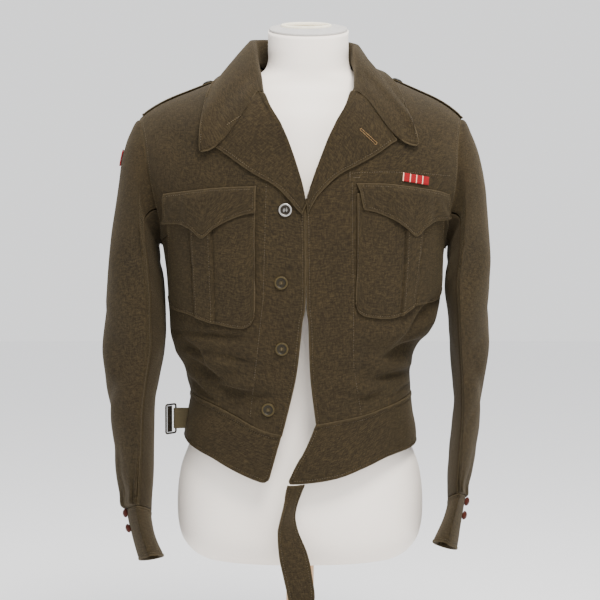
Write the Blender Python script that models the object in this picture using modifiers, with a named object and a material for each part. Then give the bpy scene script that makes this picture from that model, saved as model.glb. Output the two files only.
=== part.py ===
# A battledress jacket hanging open on a limbless dress form with a pole and a round base.
# Metres, +Z up, the front faces -Y. Right and left are the wearer's own, so right is -X.

import math

import bmesh
import bpy
from mathutils import Vector

FRONT = -1
BACK = 1
RIGHT = -1
LEFT = 1
SIDE_NAMES = {RIGHT: "right", LEFT: "left"}

# Cloth
BODY_WALL = 0.0018
PATCH_WALL = 0.0016
FOLDED_WALL = 0.0024
SEAM_GAP = 0.0004
ARMHOLE_GAP = 0.0012
RESTING_GAP = 0.0005
PATCH_GAP = 0.0015
STRAP_GAP = 0.0009

# Shape of the trunk's rings and of the round over the shoulder
ROUNDNESS = 2.3
RIDGE_Y = 0.005
SHOULDER_DROP = 0.110
SHOULDER_ARC = 0.197
NECK_LEAN = 0.0115
UNDERARM_HEIGHT = 0.635

# Stand and form
BASE_RADIUS = 0.150
BASE_HEIGHT = 0.014
POLE_RADIUS = 0.0195
FORM_BOTTOM = 0.190
NECK_TOP = 0.929
NECK_SLANT = 0.23
NECK_SLANT_START = 0.885
CAP_HALF = (0.0545, 0.0510)
CAP_THICKNESS = 0.003
CAP_HOLE_HALF = (0.034, 0.020)
CAP_HOLE_PLACE = (-0.003, 0.018, 0.004)
FORM_SPOKES = 28
FORM_ROUNDNESS = 2.15
BASE_RIM = 0.004

# Pockets and flaps, measured from the jacket's middle
POCKET_INNER = 0.068
POCKET_OUTER = 0.187
POCKET_BELOW_FLAP_TOP = 0.014
POCKET_CORNER = 0.016
PLEAT_MIDDLE = 0.140
PLEAT_HALF = 0.0135
PLEAT_RISE = 0.0026
PLEAT_SLOPE = 0.004
POCKET_SLANT = 0.08
FLAP_INNER = 0.067
FLAP_OUTER = 0.197
FLAP_NARROWING = 0.004
FLAP_TOP = 0.714
FLAP_TOP_DROP = 0.009
FLAP_CLIMB = 0.012

POCKET_BOTTOMS = {RIGHT: 0.526, LEFT: 0.537}

# Panels of the trunk
SIDE_SEAM_SHARE = 0.52
ROW_CROWDING = 1.15
NECK_HALF = 0.0695
BACK_NECK_RUN = 0.062

# Share of a panel taken by the narrow first grid line that keeps its wall square to a seam
EDGE = 0.012

# Sleeves and cuffs, their turns in degrees from the outside of the arm
SLEEVE_START = 0.022
SLEEVE_FRONT_SEAM = 118.0
SLEEVE_BACK_SEAM = 236.0
SLEEVE_SEAM_TURN = 1.0
CREASE_POWER = 5 / 3
CUFF_START = 250.0
CUFF_OVERLAP = 24.0
CUFF_LAP = 0.0030
CUFF_LAP_START = 320.0
CUFF_LAP_TURN = 36.0
FLASH_TURNS = (-34.0, 14.0)
FLASH_ROWS_DOWN = (1.75, 2.32)

# Lapels: the run of each roll line from bottom to top, and how far they stand off the front
LAPEL_ROLL = {RIGHT: (0.282, 0.121), LEFT: (0.276, 0.121)}
LAPEL_GAP = 0.0014
LAPEL_ROLL_DROP = 0.004
LAPEL_EXTRA_LIFT = 0.0013
LAPEL_EDGE_LIFT = 0.0016
ROLL_LIFT = 0.0030
ROLL_BEYOND = 0.0044

# Collar
COLLAR_STATIONS = 6
COLLAR_ROLL_RADIUS = 0.0036
COLLAR_SKEW = 0.09
COLLAR_END_BOW = 0.018
COLLAR_SWELL = 0.004
COLLAR_SEAM_LIFT = 0.0007
COLLAR_STAND_LIFT = 0.0050
STAND_PART = 0.26
ROLL_PART = 0.50

# Shoulder straps, measured outward from the jacket's middle
STRAP_START = 0.2215
STRAP_END = 0.1225
STRAP_HALF = 0.0205
STRAP_SHIFT = 0.010
STRAP_TAPER = 0.86
STRAP_TIP_START = 0.86
STRAP_TIP = 0.45
STRAP_LEAN = 0.3 * NECK_LEAN

# Ribbon over the left flap
RIBBON_MIDDLE = (0.1565, 0.7265)
RIBBON_SIZE = (0.036, 0.013)
RIBBON_TILT = math.radians(-4.0)

# Buttons: radius, thickness of the rim and rise of the dome
FRONT_BUTTON = (0.0088, 0.0022, 0.0009)
CUFF_BUTTON = (0.0062, 0.0018, 0.0026)
STRAP_BUTTON = (0.0075, 0.0022, 0.0012)
CUFF_BUTTON_TURN = 16.0
CUFF_BUTTON_STEPS = {RIGHT: (0.19, 0.53), LEFT: (0.20, 0.53)}

# Buckle: a wire frame and a toothed plate that swing on a loop of tape at the right hip
BUCKLE_AXIS = Vector((-0.1730, -0.0220, 0.3905))
BUCKLE_HEIGHT = 0.040
BUCKLE_WIDTH = 0.022
BUCKLE_WIRE = 0.0013
BUCKLE_CORNER = 0.003
BUCKLE_SWING = math.radians(55.0)
PLATE_WIDTH = 0.0050
PLATE_THICKNESS = 0.0012
PLATE_PLACE = 0.62
TAB_WALL = 0.0013
TAB_HEIGHT = 0.028
TAB_CLEARANCE = 0.0006
TAB_ROOT_SHARE = 0.994
TAB_ROOT_GAP = 0.0001
TAB_LEG = 0.3


class Table:
    # Rows of named columns, read between its rows along a smooth curve.
    def __init__(self, columns, rows):
        self.columns = columns
        self.rows = rows

    def column(self, name):
        place = self.columns.index(name)
        return [row[place] for row in self.rows]

    def at(self, name, key):
        keys = self.column(self.columns[0])
        values = self.column(name)
        if key <= keys[0]:
            return values[0]
        if key >= keys[-1]:
            return values[-1]
        row = max(i for i in range(len(keys) - 1) if keys[i] <= key)
        step = keys[row + 1] - keys[row]
        share = (key - keys[row]) / step
        low = slope_at(keys, values, row) * step
        high = slope_at(keys, values, row + 1) * step
        return hermite(values[row], values[row + 1], low, high, share)


def slope_at(keys, values, row):
    before = max(row - 1, 0)
    after = min(row + 1, len(keys) - 1)
    return (values[after] - values[before]) / (keys[after] - keys[before])


def hermite(start, end, start_slope, end_slope, share):
    square = share * share
    cube = square * share
    return (start * (2 * cube - 3 * square + 1) + end * (3 * square - 2 * cube)
            + start_slope * (cube - 2 * square + share) + end_slope * (cube - square))


def mix(start, end, share):
    return start + (end - start) * share


def smooth_step(share):
    share = min(max(share, 0.0), 1.0)
    return share * share * (3 - 2 * share)


def shares(count):
    return [i / count for i in range(count + 1)]


# Half widths to the right and left, depths to the front and back, and the sideways lean
BODY = Table(
    ("height", "right", "left", "front", "back", "lean"),
    (
        (0.300, 0.164, 0.163, 0.127, 0.112, 0.000),
        (0.371, 0.162, 0.163, 0.128, 0.112, 0.000),
        (0.400, 0.157, 0.158, 0.128, 0.110, 0.000),
        (0.428, 0.153, 0.155, 0.130, 0.110, 0.001),
        (0.446, 0.158, 0.154, 0.133, 0.119, 0.002),
        (0.464, 0.162, 0.153, 0.135, 0.125, 0.003),
        (0.484, 0.174, 0.160, 0.138, 0.128, 0.004),
        (0.508, 0.181, 0.180, 0.139, 0.129, 0.005),
        (0.550, 0.184, 0.195, 0.140, 0.128, 0.007),
        (0.600, 0.187, 0.199, 0.141, 0.125, 0.008),
        (0.635, 0.1925, 0.203, 0.141, 0.123, 0.008),
        (0.665, 0.203, 0.213, 0.141, 0.122, 0.008),
        (0.700, 0.217, 0.227, 0.140, 0.121, 0.008),
        (0.740, 0.230, 0.2345, 0.138, 0.121, 0.009),
        (0.790, 0.237, 0.237, 0.137, 0.121, 0.010),
        (0.880, 0.240, 0.240, 0.136, 0.121, 0.0115),
    ),
)

# Top line of the shoulder, out from the neck
RIDGE = Table(
    ("across", "height"),
    (
        (0.000, 0.884),
        (0.050, 0.883),
        (0.075, 0.877),
        (0.120, 0.860),
        (0.155, 0.846),
        (0.190, 0.831),
        (0.214, 0.816),
        (0.228, 0.803),
        (0.250, 0.782),
    ),
)

# Armhole edge from the underarm to the shoulder tip
ARMHOLE = Table(
    ("step", "front_angle", "back_angle", "run"),
    (
        (0.00, 90.0, 90.0, 0.285),
        (0.15, 80.0, 79.0, 0.273),
        (0.30, 71.5, 70.0, 0.243),
        (0.50, 66.0, 64.0, 0.190),
        (0.70, 64.5, 62.5, 0.128),
        (0.86, 67.5, 66.0, 0.066),
        (1.00, 70.0, 70.0, 0.000),
    ),
)

# Inner edge of each front: neck, roll of the lapel, then the open front edge
FRONT_EDGE = Table(
    ("run", "right", "left"),
    (
        (0.000, -0.0580, 0.0800),
        (0.050, -0.0575, 0.0785),
        (0.100, -0.0510, 0.0710),
        (0.150, -0.0375, 0.0590),
        (0.197, -0.0195, 0.0405),
        (0.240, -0.0050, 0.0240),
        (0.277, 0.0035, 0.0125),
        (0.300, 0.0050, 0.0095),
        (0.400, 0.0060, 0.0105),
        (0.460, 0.0015, 0.0115),
        (0.515, -0.0050, 0.0135),
        (0.560, -0.0150, 0.0185),
        (0.600, -0.0250, 0.0240),
    ),
)

# Seam between fronts or back and the waistband, and the band's lower edge.
# The turn is counted in degrees from the middle of the back, positive to the left.
BAND = Table(
    ("turn", "top", "bottom"),
    (
        (-182.0, 0.371, 0.301),
        (-165.0, 0.381, 0.312),
        (-150.0, 0.399, 0.327),
        (-135.0, 0.412, 0.343),
        (-112.0, 0.422, 0.357),
        (-90.0, 0.425, 0.366),
        (-45.0, 0.427, 0.362),
        (0.0, 0.428, 0.361),
        (45.0, 0.427, 0.359),
        (90.0, 0.425, 0.358),
        (112.0, 0.420, 0.353),
        (135.0, 0.410, 0.345),
        (150.0, 0.401, 0.332),
        (165.0, 0.394, 0.318),
        (180.0, 0.387, 0.311),
        (192.0, 0.384, 0.310),
    ),
)
BAND_START = {"top": -173.5, "bottom": -167.5}
BAND_END = {"top": 171.0, "bottom": 184.5}

# Folds of the trunk's cloth over the band: soft ridges, with a trough where the rise is negative
BODY_FOLDS = (
    # face, across, height, tilt in degrees, length, width, rise
    (FRONT, -0.130, 0.507, -6, 0.090, 0.011, 0.004),
    (FRONT, -0.135, 0.490, -4, 0.090, 0.008, -0.004),
    (FRONT, -0.100, 0.474, 8, 0.090, 0.011, 0.005),
    (FRONT, -0.095, 0.443, 10, 0.110, 0.010, 0.005),
    (FRONT, 0.150, 0.520, 14, 0.080, 0.012, 0.006),
    (FRONT, 0.155, 0.494, 8, 0.070, 0.008, -0.005),
    (FRONT, 0.115, 0.470, -6, 0.100, 0.011, 0.005),
    (FRONT, 0.100, 0.438, -10, 0.090, 0.010, 0.005),
    (BACK, -0.110, 0.500, 12, 0.110, 0.013, 0.006),
    (BACK, -0.080, 0.466, -8, 0.130, 0.012, 0.006),
    (BACK, 0.020, 0.484, 4, 0.120, 0.013, 0.007),
    (BACK, 0.105, 0.506, -14, 0.110, 0.013, 0.006),
    (BACK, 0.110, 0.462, 7, 0.120, 0.012, 0.006),
    (BACK, -0.010, 0.452, -5, 0.100, 0.010, 0.004),
)


def ridge_height(across):
    return RIDGE.at("height", abs(across))


def drop_after(run):
    if run < SHOULDER_ARC:
        return SHOULDER_DROP * (1 - math.cos(run / SHOULDER_ARC * math.pi / 2))
    return SHOULDER_DROP + run - SHOULDER_ARC


def run_to(drop):
    if drop < SHOULDER_DROP:
        return SHOULDER_ARC * math.acos(1 - max(drop, 0.0) / SHOULDER_DROP) / (math.pi / 2)
    return SHOULDER_ARC + drop - SHOULDER_DROP


def reach_at(side, height):
    return BODY.at(SIDE_NAMES[side], height)


# Point of the trunk's outer face. The angle in degrees is 0 in the middle and 90 at the side
# seam, negative to the right, and the run is the way down from the shoulder's ridge.
def body_point(face, angle, run):
    side = LEFT if angle >= 0 else RIGHT
    turn = math.radians(min(abs(angle), 90.0))
    spread = math.sin(turn) ** (2 / ROUNDNESS)
    fullness = math.sin(min(run / SHOULDER_ARC, 1.0) * math.pi / 2)
    across = 0.2 * spread
    for _ in range(5):
        height = ridge_height(across) - drop_after(run)
        across = reach_at(side, height) * spread
    depth = BODY.at("front" if face == FRONT else "back", height)
    depth *= max(math.cos(turn), 0.0) ** (2 / ROUNDNESS) * fullness
    lean = BODY.at("lean", height) * (1 - spread * spread)
    return Vector((side * across + lean, RIDGE_Y + face * depth, height))


def angle_at(across, height):
    lean = BODY.at("lean", height)
    shifted = across - lean
    for _ in range(4):
        side = LEFT if shifted >= 0 else RIGHT
        spread = min(abs(shifted) / reach_at(side, height), 1.0)
        shifted = across - lean * (1 - spread * spread)
    return side * math.degrees(math.asin(spread ** (ROUNDNESS / 2)))


def fold_rise(face, point):
    rise = 0.0
    for fold_face, across, height, tilt, length, width, size in BODY_FOLDS:
        if fold_face != face:
            continue
        tilt = math.radians(tilt)
        along = (point.x - across) * math.cos(tilt) + (point.z - height) * math.sin(tilt)
        aside = (point.z - height) * math.cos(tilt) - (point.x - across) * math.sin(tilt)
        rise += size * math.exp(-(2 * along / length) ** 2 - (aside / width) ** 2)
    return rise


def body_normal(face, angle, run):
    edge = 89.9
    low = max(angle - 0.5, -edge)
    high = min(angle + 0.5, edge)
    near = max(run - 0.001, 0.0)
    around = body_point(face, high, run) - body_point(face, low, run)
    down = body_point(face, angle, near + 0.002) - body_point(face, angle, near)
    normal = around.cross(down) if face == BACK else down.cross(around)
    return normal.normalized()


# Point that lies on the trunk's cloth, lifted off its outer face
def cloth_point(face, angle, run, lift=0.0):
    point = body_point(face, angle, run)
    lift += fold_rise(face, point)
    point = point + body_normal(face, angle, run) * lift
    point.y += face * SEAM_GAP / 2
    return point


def point_on_front(across, height, lift):
    angle = angle_at(across, height)
    shifted = abs(body_point(FRONT, angle, 0.3).x)
    run = run_to(ridge_height(min(shifted, abs(across))) - height)
    return cloth_point(FRONT, angle, run, lift)


# Moves a point outward until it is lifted off the trunk's cloth
def clear_of_body(point, lift):
    face = FRONT if point.y < RIDGE_Y else BACK
    for _ in range(3):
        ridge = ridge_height(point.x - NECK_LEAN)
        angle = angle_at(point.x, min(point.z, ridge))
        middle = ridge - SHOULDER_DROP
        depth = abs(cloth_point(face, angle, SHOULDER_ARC).y - RIDGE_Y)
        if point.z > middle:
            out = abs(point.y - RIDGE_Y) / max(depth, 0.02)
            up = (point.z - middle) / SHOULDER_DROP
            run = SHOULDER_ARC * math.atan2(out, up) / (math.pi / 2)
        else:
            run = SHOULDER_ARC + middle - point.z
        normal = body_normal(face, angle, run)
        height_over = (point - cloth_point(face, angle, run)).dot(normal)
        if height_over < lift:
            point = point + normal * (lift - height_over)
    return point


def make_collection(name):
    collection = bpy.data.collections.new(name)
    bpy.context.scene.collection.children.link(collection)
    return collection


def make_material(name, colour, roughness, metallic=0.0):
    material = bpy.data.materials.new(name)
    material.use_nodes = True
    shader = material.node_tree.nodes["Principled BSDF"]
    shader.inputs["Base Color"].default_value = (*colour, 1.0)
    shader.inputs["Roughness"].default_value = roughness
    shader.inputs["Metallic"].default_value = metallic
    return material


def add_object(name, mesh, material, collection):
    piece = bpy.data.objects.new(name, mesh)
    collection.objects.link(piece)
    mesh.materials.clear()
    mesh.materials.append(material)
    return piece


def finish_mesh(shape, name):
    mesh = bpy.data.meshes.new(name)
    shape.to_mesh(mesh)
    shape.free()
    return mesh


# A panel of cloth: a grid laid on the surface and given its wall inward.
# The across and up lists hold the shares at which the grid has its lines.
def cloth_panel(name, surface, across, up, wall, material, collection, turn_over=False):
    shape = bmesh.new()
    columns = len(across) - 1
    rows = len(up) - 1
    bmesh.ops.create_grid(shape, x_segments=columns, y_segments=rows, size=0.5)
    for vert in shape.verts:
        column = round((vert.co.x + 0.5) * columns)
        row = round((vert.co.y + 0.5) * rows)
        vert.co = surface(across[column], up[row])
    if turn_over:
        bmesh.ops.reverse_faces(shape, faces=shape.faces)
    piece = add_object(name, finish_mesh(shape, name), material, collection)
    piece.data.shade_smooth()
    solid = piece.modifiers.new("Wall", "SOLIDIFY")
    solid.thickness = wall
    solid.offset = -1.0
    solid.use_even_offset = True
    return piece


# Side seam, then the armhole, as angle and run
def outer_edge(face, side, step):
    if step < SIDE_SEAM_SHARE:
        low = BAND.at("top", side * 90.0) + SEAM_GAP
        height = mix(low, UNDERARM_HEIGHT, step / SIDE_SEAM_SHARE)
        return side * 90.0, run_to(ridge_height(reach_at(side, height)) - height)
    share = (step - SIDE_SEAM_SHARE) / (1 - SIDE_SEAM_SHARE)
    column = "front_angle" if face == FRONT else "back_angle"
    return side * ARMHOLE.at(column, share), ARMHOLE.at("run", share)


# Rows are closer together over the round of the shoulder
def front_row_run(step, bottom_run):
    return bottom_run * (1 - step) ** ROW_CROWDING


def front_surface(side):
    def surface(u, v):
        outward = u if side == LEFT else 1 - u
        edge_angle, edge_run = outer_edge(FRONT, side, v)
        low = BAND.at("top", 180.0 if side == LEFT else -176.0) + SEAM_GAP
        bottom_run = run_to(ridge_height(0.0) - low)
        inner_run = front_row_run(v, bottom_run)
        inner_x = FRONT_EDGE.at(SIDE_NAMES[side], inner_run)
        inner_height = ridge_height(abs(inner_x - NECK_LEAN)) - drop_after(inner_run)
        inner_angle = angle_at(inner_x, inner_height)
        angle = mix(inner_angle, edge_angle, outward)
        run = mix(inner_run, edge_run, outward)
        if v == 0:
            run = run_to_band(FRONT, angle, run)
        return cloth_point(FRONT, angle, run)
    return surface


# Way down to the seam with the waistband at an angle of the trunk
def run_to_band(face, angle, guess):
    if face == BACK:
        turn = angle
    else:
        turn = 180.0 - angle if angle >= 0 else -180.0 - angle
        if angle < 0 and guess < 0:
            turn = 180.0 - angle
    height = BAND.at("top", turn) + SEAM_GAP
    across = abs(body_point(face, angle, guess).x)
    return run_to(ridge_height(across) - height)


def back_surface(u, v):
    turn = 1 - 2 * u
    side = LEFT if turn >= 0 else RIGHT
    edge_angle, edge_run = outer_edge(BACK, side, v)
    angle = edge_angle * abs(turn)
    top = body_point(BACK, angle, 0.0)
    inside = min(abs(top.x - NECK_LEAN * (1 - abs(turn))) / NECK_HALF, 1.0)
    top_run = BACK_NECK_RUN * math.sqrt(max(1 - inside ** 3, 0.0))
    bottom_run = run_to_band(BACK, angle, 0.5)
    side_run = mix(bottom_run, top_run, back_row_share(v, side))
    run = mix(side_run, edge_run, abs(turn) ** 3)
    if v == 0:
        run = bottom_run
    if v == 1:
        run = top_run
    return cloth_point(BACK, angle, run)


def back_row_share(step, side):
    bottom = outer_edge(BACK, side, 0.0)[1]
    return 1 - outer_edge(BACK, side, step)[1] / bottom


# The waistband follows the trunk's rings, its ends slanted
def band_point(u, v):
    start = mix(BAND_START["bottom"], BAND_START["top"], v)
    end = mix(BAND_END["bottom"], BAND_END["top"], v)
    turn = mix(start, end, 1 - u)
    height = mix(BAND.at("bottom", turn), BAND.at("top", turn), v)
    return ring_point(turn, height, 0.0)


def ring_point(turn, height, lift):
    face = BACK if abs(turn) <= 90 else FRONT
    angle = turn if face == BACK else math.copysign(180.0, turn) - turn
    run = 0.5
    for _ in range(4):
        across = abs(body_point(face, angle, run).x)
        run = run_to(ridge_height(across) - height)
    point = body_point(face, angle, run)
    return point + body_normal(face, angle, run) * lift


# Sleeve rings from the shoulder to the cuff: outermost x and z and innermost x and z of each
# ring, the sharp front crease as a share of the way from inside to outside, the front and back
# depths, and the rise of the ring's front
SLEEVE_ROWS = {
    RIGHT: (
        (0.228, 0.803, 0.1935, 0.635, 0.50, -0.060, 0.070, 0.000),
        (0.2375, 0.786, 0.1965, 0.630, 0.50, -0.063, 0.073, 0.000),
        (0.2470, 0.755, 0.1960, 0.622, 0.46, -0.068, 0.076, 0.000),
        (0.2540, 0.712, 0.1945, 0.610, 0.40, -0.074, 0.079, 0.000),
        (0.2605, 0.662, 0.1915, 0.594, 0.34, -0.078, 0.079, 0.000),
        (0.2665, 0.606, 0.1885, 0.568, 0.30, -0.080, 0.076, 0.000),
        (0.2715, 0.548, 0.1875, 0.530, 0.28, -0.081, 0.072, 0.000),
        (0.2730, 0.495, 0.1875, 0.488, 0.26, -0.081, 0.067, 0.001),
        (0.2715, 0.446, 0.1970, 0.444, 0.24, -0.081, 0.061, 0.002),
        (0.2670, 0.402, 0.2030, 0.401, 0.26, -0.082, 0.054, 0.004),
        (0.2600, 0.355, 0.2035, 0.353, 0.32, -0.083, 0.046, 0.006),
        (0.2555, 0.312, 0.2045, 0.311, 0.40, -0.084, 0.037, 0.009),
        (0.2490, 0.286, 0.2060, 0.286, 0.46, -0.085, 0.029, 0.012),
        (0.2475, 0.268, 0.2065, 0.268, 0.50, -0.084, 0.024, 0.014),
        (0.2400, 0.262, 0.2070, 0.262, 0.50, -0.080, 0.021, 0.015),
    ),
    LEFT: (
        (0.228, 0.803, 0.2040, 0.635, 0.50, -0.060, 0.070, 0.000),
        (0.2385, 0.786, 0.2065, 0.630, 0.50, -0.063, 0.073, 0.000),
        (0.2500, 0.755, 0.2060, 0.622, 0.44, -0.068, 0.076, 0.000),
        (0.2580, 0.716, 0.2050, 0.610, 0.38, -0.074, 0.079, 0.000),
        (0.2625, 0.668, 0.2035, 0.594, 0.32, -0.078, 0.079, 0.000),
        (0.2645, 0.610, 0.2020, 0.568, 0.26, -0.080, 0.076, 0.000),
        (0.2630, 0.555, 0.2065, 0.533, 0.22, -0.081, 0.072, 0.000),
        (0.2615, 0.500, 0.2090, 0.491, 0.22, -0.081, 0.067, 0.001),
        (0.2580, 0.450, 0.2125, 0.446, 0.24, -0.081, 0.061, 0.002),
        (0.2535, 0.402, 0.2130, 0.401, 0.28, -0.082, 0.054, 0.004),
        (0.2470, 0.356, 0.2095, 0.354, 0.34, -0.083, 0.046, 0.006),
        (0.2400, 0.318, 0.2060, 0.317, 0.42, -0.084, 0.037, 0.009),
        (0.2330, 0.296, 0.2055, 0.296, 0.48, -0.085, 0.029, 0.012),
        (0.2325, 0.283, 0.2055, 0.283, 0.50, -0.084, 0.024, 0.014),
        (0.2300, 0.279, 0.2060, 0.279, 0.50, -0.080, 0.021, 0.015),
    ),
}
CUFF_ROWS = {
    RIGHT: (
        (0.2400, 0.2610, 0.2070, 0.2610, 0.50, -0.080, 0.021, 0.015),
        (0.2395, 0.2500, 0.2065, 0.2490, 0.50, -0.082, 0.021, 0.016),
        (0.2330, 0.2250, 0.2010, 0.2260, 0.50, -0.086, 0.016, 0.018),
        (0.2225, 0.1950, 0.1900, 0.2020, 0.50, -0.092, 0.009, 0.020),
    ),
    LEFT: (
        (0.2300, 0.2780, 0.2060, 0.2780, 0.50, -0.080, 0.021, 0.015),
        (0.2280, 0.2670, 0.2040, 0.2650, 0.50, -0.082, 0.021, 0.016),
        (0.2235, 0.2430, 0.1960, 0.2440, 0.50, -0.086, 0.016, 0.018),
        (0.2180, 0.2110, 0.1860, 0.2180, 0.50, -0.092, 0.009, 0.020),
    ),
}

# Folds of each sleeve: where they lie around and along it, and how far they rise
SLEEVE_FOLDS = (
    # turn, tilt, row, half turn, half rows, rise
    (35.0, 0.00, 12.1, 9.0, 1.6, -0.0050),
    (62.0, 0.00, 12.3, 8.0, 1.2, 0.0035),
    (8.0, 0.00, 12.4, 9.0, 1.3, 0.0030),
    (-28.0, 0.00, 12.2, 10.0, 1.5, -0.0045),
    (-58.0, 0.00, 12.5, 9.0, 1.2, 0.0030),
    (30.0, 0.02, 7.6, 34.0, 0.5, 0.0040),
    (20.0, -0.02, 8.6, 36.0, 0.4, -0.0040),
    (45.0, 0.02, 5.4, 30.0, 0.6, 0.0035),
    (-40.0, 0.01, 6.8, 34.0, 0.6, 0.0040),
)


# Point of one ring: the turn is 0 outside, 90 in front, 180 inside and 270 behind
def ring_of(row, side, turn):
    outer_x, outer_z, inner_x, inner_z, crease, front, back, rise = row
    angle = math.radians(turn)
    across = math.cos(angle)
    forward = math.sin(angle)
    pointed = math.copysign(abs(across) ** CREASE_POWER, across)
    if forward > 0:
        middle = mix(inner_x, outer_x, crease)
        wide = outer_x - middle if across > 0 else middle - inner_x
        x = mix(0.5 * (outer_x + inner_x) + 0.5 * (outer_x - inner_x) * across,
                middle + wide * pointed, forward)
    else:
        x = 0.5 * (outer_x + inner_x) + 0.5 * (outer_x - inner_x) * across
    z = 0.5 * (outer_z + inner_z) + 0.5 * (outer_z - inner_z) * across + rise * forward
    centre = 0.5 * (front + back)
    y = centre - 0.5 * (back - front) * forward
    return Vector((side * x, y, z))


def armhole_loop(side, turn):
    turn = turn % 360.0
    face = FRONT if turn <= 180.0 else BACK
    step = 1 - turn / 180.0 if face == FRONT else (turn - 180.0) / 180.0
    column = "front_angle" if face == FRONT else "back_angle"
    point = cloth_point(face, side * ARMHOLE.at(column, step), ARMHOLE.at("run", step))
    return point + Vector((side * ARMHOLE_GAP, 0.0, 0.0))


def sleeve_fold(turn, row):
    rise = 0.0
    signed = (turn + 180.0) % 360.0 - 180.0
    for fold_turn, tilt, fold_row, half_turn, half_rows, size in SLEEVE_FOLDS:
        aside = (signed - fold_turn) / half_turn
        along = (row - fold_row - tilt * (signed - fold_turn)) / half_rows
        rise += size * math.exp(-aside * aside - along * along)
    return rise


# The rings joined along the sleeve: row 0 is the armhole
def sleeve_point(side, turn, row):
    rows = SLEEVE_ROWS[side]
    last = len(rows) - 1
    low = min(int(row), last - 1)
    rings = []
    for i in (low - 1, low, low + 1, low + 2):
        i = min(max(i, 0), last)
        rings.append(armhole_loop(side, turn) if i == 0 else ring_of(rows[i], side, turn))
    share = row - low
    start_slope = (rings[2] - rings[0]) * 0.5 if low > 0 else Vector((side * SLEEVE_START, 0.0, 0.0))
    end_slope = (rings[3] - rings[1]) * (0.5 if low < last - 1 else 1.0)
    point = hermite(rings[1], rings[2], start_slope, end_slope, share)
    near_end = smooth_step((last - row) / 1.0) * smooth_step(row)
    middle = 0.5 * (ring_of(rows[low + 1], side, 0) + ring_of(rows[low + 1], side, 180))
    out = Vector((point.x - middle.x, point.y - middle.y, 0.0)).normalized()
    return point + out * sleeve_fold(turn, row) * near_end


def half_sleeve(side, start, end):
    def surface(u, v):
        turn = mix(start + SLEEVE_SEAM_TURN, end - SLEEVE_SEAM_TURN, u)
        return sleeve_point(side, turn, v)
    return surface


# The cuff wraps around once and overlaps itself at the back
def cuff_surface(side):
    rows = CUFF_ROWS[side]
    last = len(rows) - 1

    def surface(u, v):
        turn = CUFF_START + u * (360.0 + CUFF_OVERLAP)
        row = (1 - v) * last
        low = min(int(row), last - 1)
        point = ring_of(rows[low], side, turn).lerp(ring_of(rows[low + 1], side, turn), row - low)
        middle = 0.5 * (ring_of(rows[low], side, 0) + ring_of(rows[low], side, 180))
        out = Vector((point.x - middle.x, point.y - middle.y, 0.0)).normalized()
        lap = smooth_step((turn - CUFF_START - CUFF_LAP_START) / CUFF_LAP_TURN)
        return point + out * CUFF_LAP * lap
    return surface


# Lower edge of the flap from its outer end to its inner end
FLAP_EDGE = Table(
    ("share", "drop"),
    (
        (0.00, 0.041),
        (0.08, 0.042),
        (0.22, 0.045),
        (0.34, 0.054),
        (0.45, 0.068),
        (0.56, 0.056),
        (0.68, 0.046),
        (0.86, 0.036),
        (1.00, 0.032),
    ),
)


def middle_at(height):
    return BODY.at("lean", height)


def pleat_rise(across):
    from_edge = PLEAT_HALF - abs(across - PLEAT_MIDDLE)
    return PLEAT_RISE * smooth_step(from_edge / PLEAT_SLOPE)


def flap_top(away):
    share = (away - FLAP_INNER) / (FLAP_OUTER - FLAP_INNER)
    return FLAP_TOP - FLAP_TOP_DROP * abs(share - 0.35) ** 1.5


def pocket_surface(side):
    lowest = POCKET_BOTTOMS[side]

    def surface(away, v):
        from_side = min(away - POCKET_INNER, POCKET_OUTER - away)
        short = max(1 - from_side / POCKET_CORNER, 0.0)
        bottom = lowest + POCKET_CORNER * (1 - math.sqrt(1 - short * short))
        bottom += POCKET_SLANT * (away - POCKET_INNER)
        height = mix(bottom, flap_top(away) - POCKET_BELOW_FLAP_TOP, v)
        lift = PATCH_GAP + PATCH_WALL + pleat_rise(away)
        return point_on_front(side * away + middle_at(height), height, lift)
    return surface


# The down value is 0 at the flap's upper edge, 1 where it has climbed over the pocket and 2
# at its lower edge
def flap_surface(side):
    def surface(away, down):
        share = (FLAP_OUTER - away) / (FLAP_OUTER - FLAP_INNER)
        drop = FLAP_EDGE.at("drop", share)
        below = FLAP_CLIMB * down if down < 1 else mix(FLAP_CLIMB, drop, down - 1)
        height = flap_top(away) - below
        from_pleat = abs(away - PLEAT_MIDDLE) - PLEAT_HALF - PLEAT_SLOPE
        near_pleat = smooth_step(1 - from_pleat / FLAP_CLIMB)
        raised = PATCH_GAP + PATCH_WALL + PLEAT_RISE * near_pleat
        lift = RESTING_GAP + PATCH_WALL + raised * min(down, 1.0)
        away -= FLAP_NARROWING * 0.5 * down * (1 - share) ** 2
        return point_on_front(side * away + middle_at(height), height, lift)
    return surface


# Outer edge of the lapels, from the break at the top button up to the tip at the gorge
LAPEL = Table(
    ("share", "right_x", "right_z", "left_x", "left_z"),
    (
        (0.00, -0.0040, 0.6800, 0.0160, 0.6840),
        (0.12, -0.0130, 0.6960, 0.0260, 0.7060),
        (0.30, -0.0320, 0.7120, 0.0500, 0.7260),
        (0.50, -0.0560, 0.7270, 0.0760, 0.7400),
        (0.75, -0.0880, 0.7480, 0.1060, 0.7560),
        (1.00, -0.1160, 0.7660, 0.1310, 0.7720),
    ),
)


# Height of the gorge seam, which is the collar's lower front edge
def gorge_height(side, across):
    away = side * (across - NECK_LEAN)
    roll_x, edge_x = COLLAR.at("roll_x", 0.0), COLLAR.at("edge_x", 0.0)
    if away < roll_x:
        return COLLAR.at("seam_z", 0.0)
    share = min(max((away - roll_x) / (edge_x - roll_x), 0.0), 1.0)
    return mix(COLLAR.at("roll_z", 0.0), COLLAR.at("edge_z", 0.0), share) + collar_sag(share, 0.0)


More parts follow.
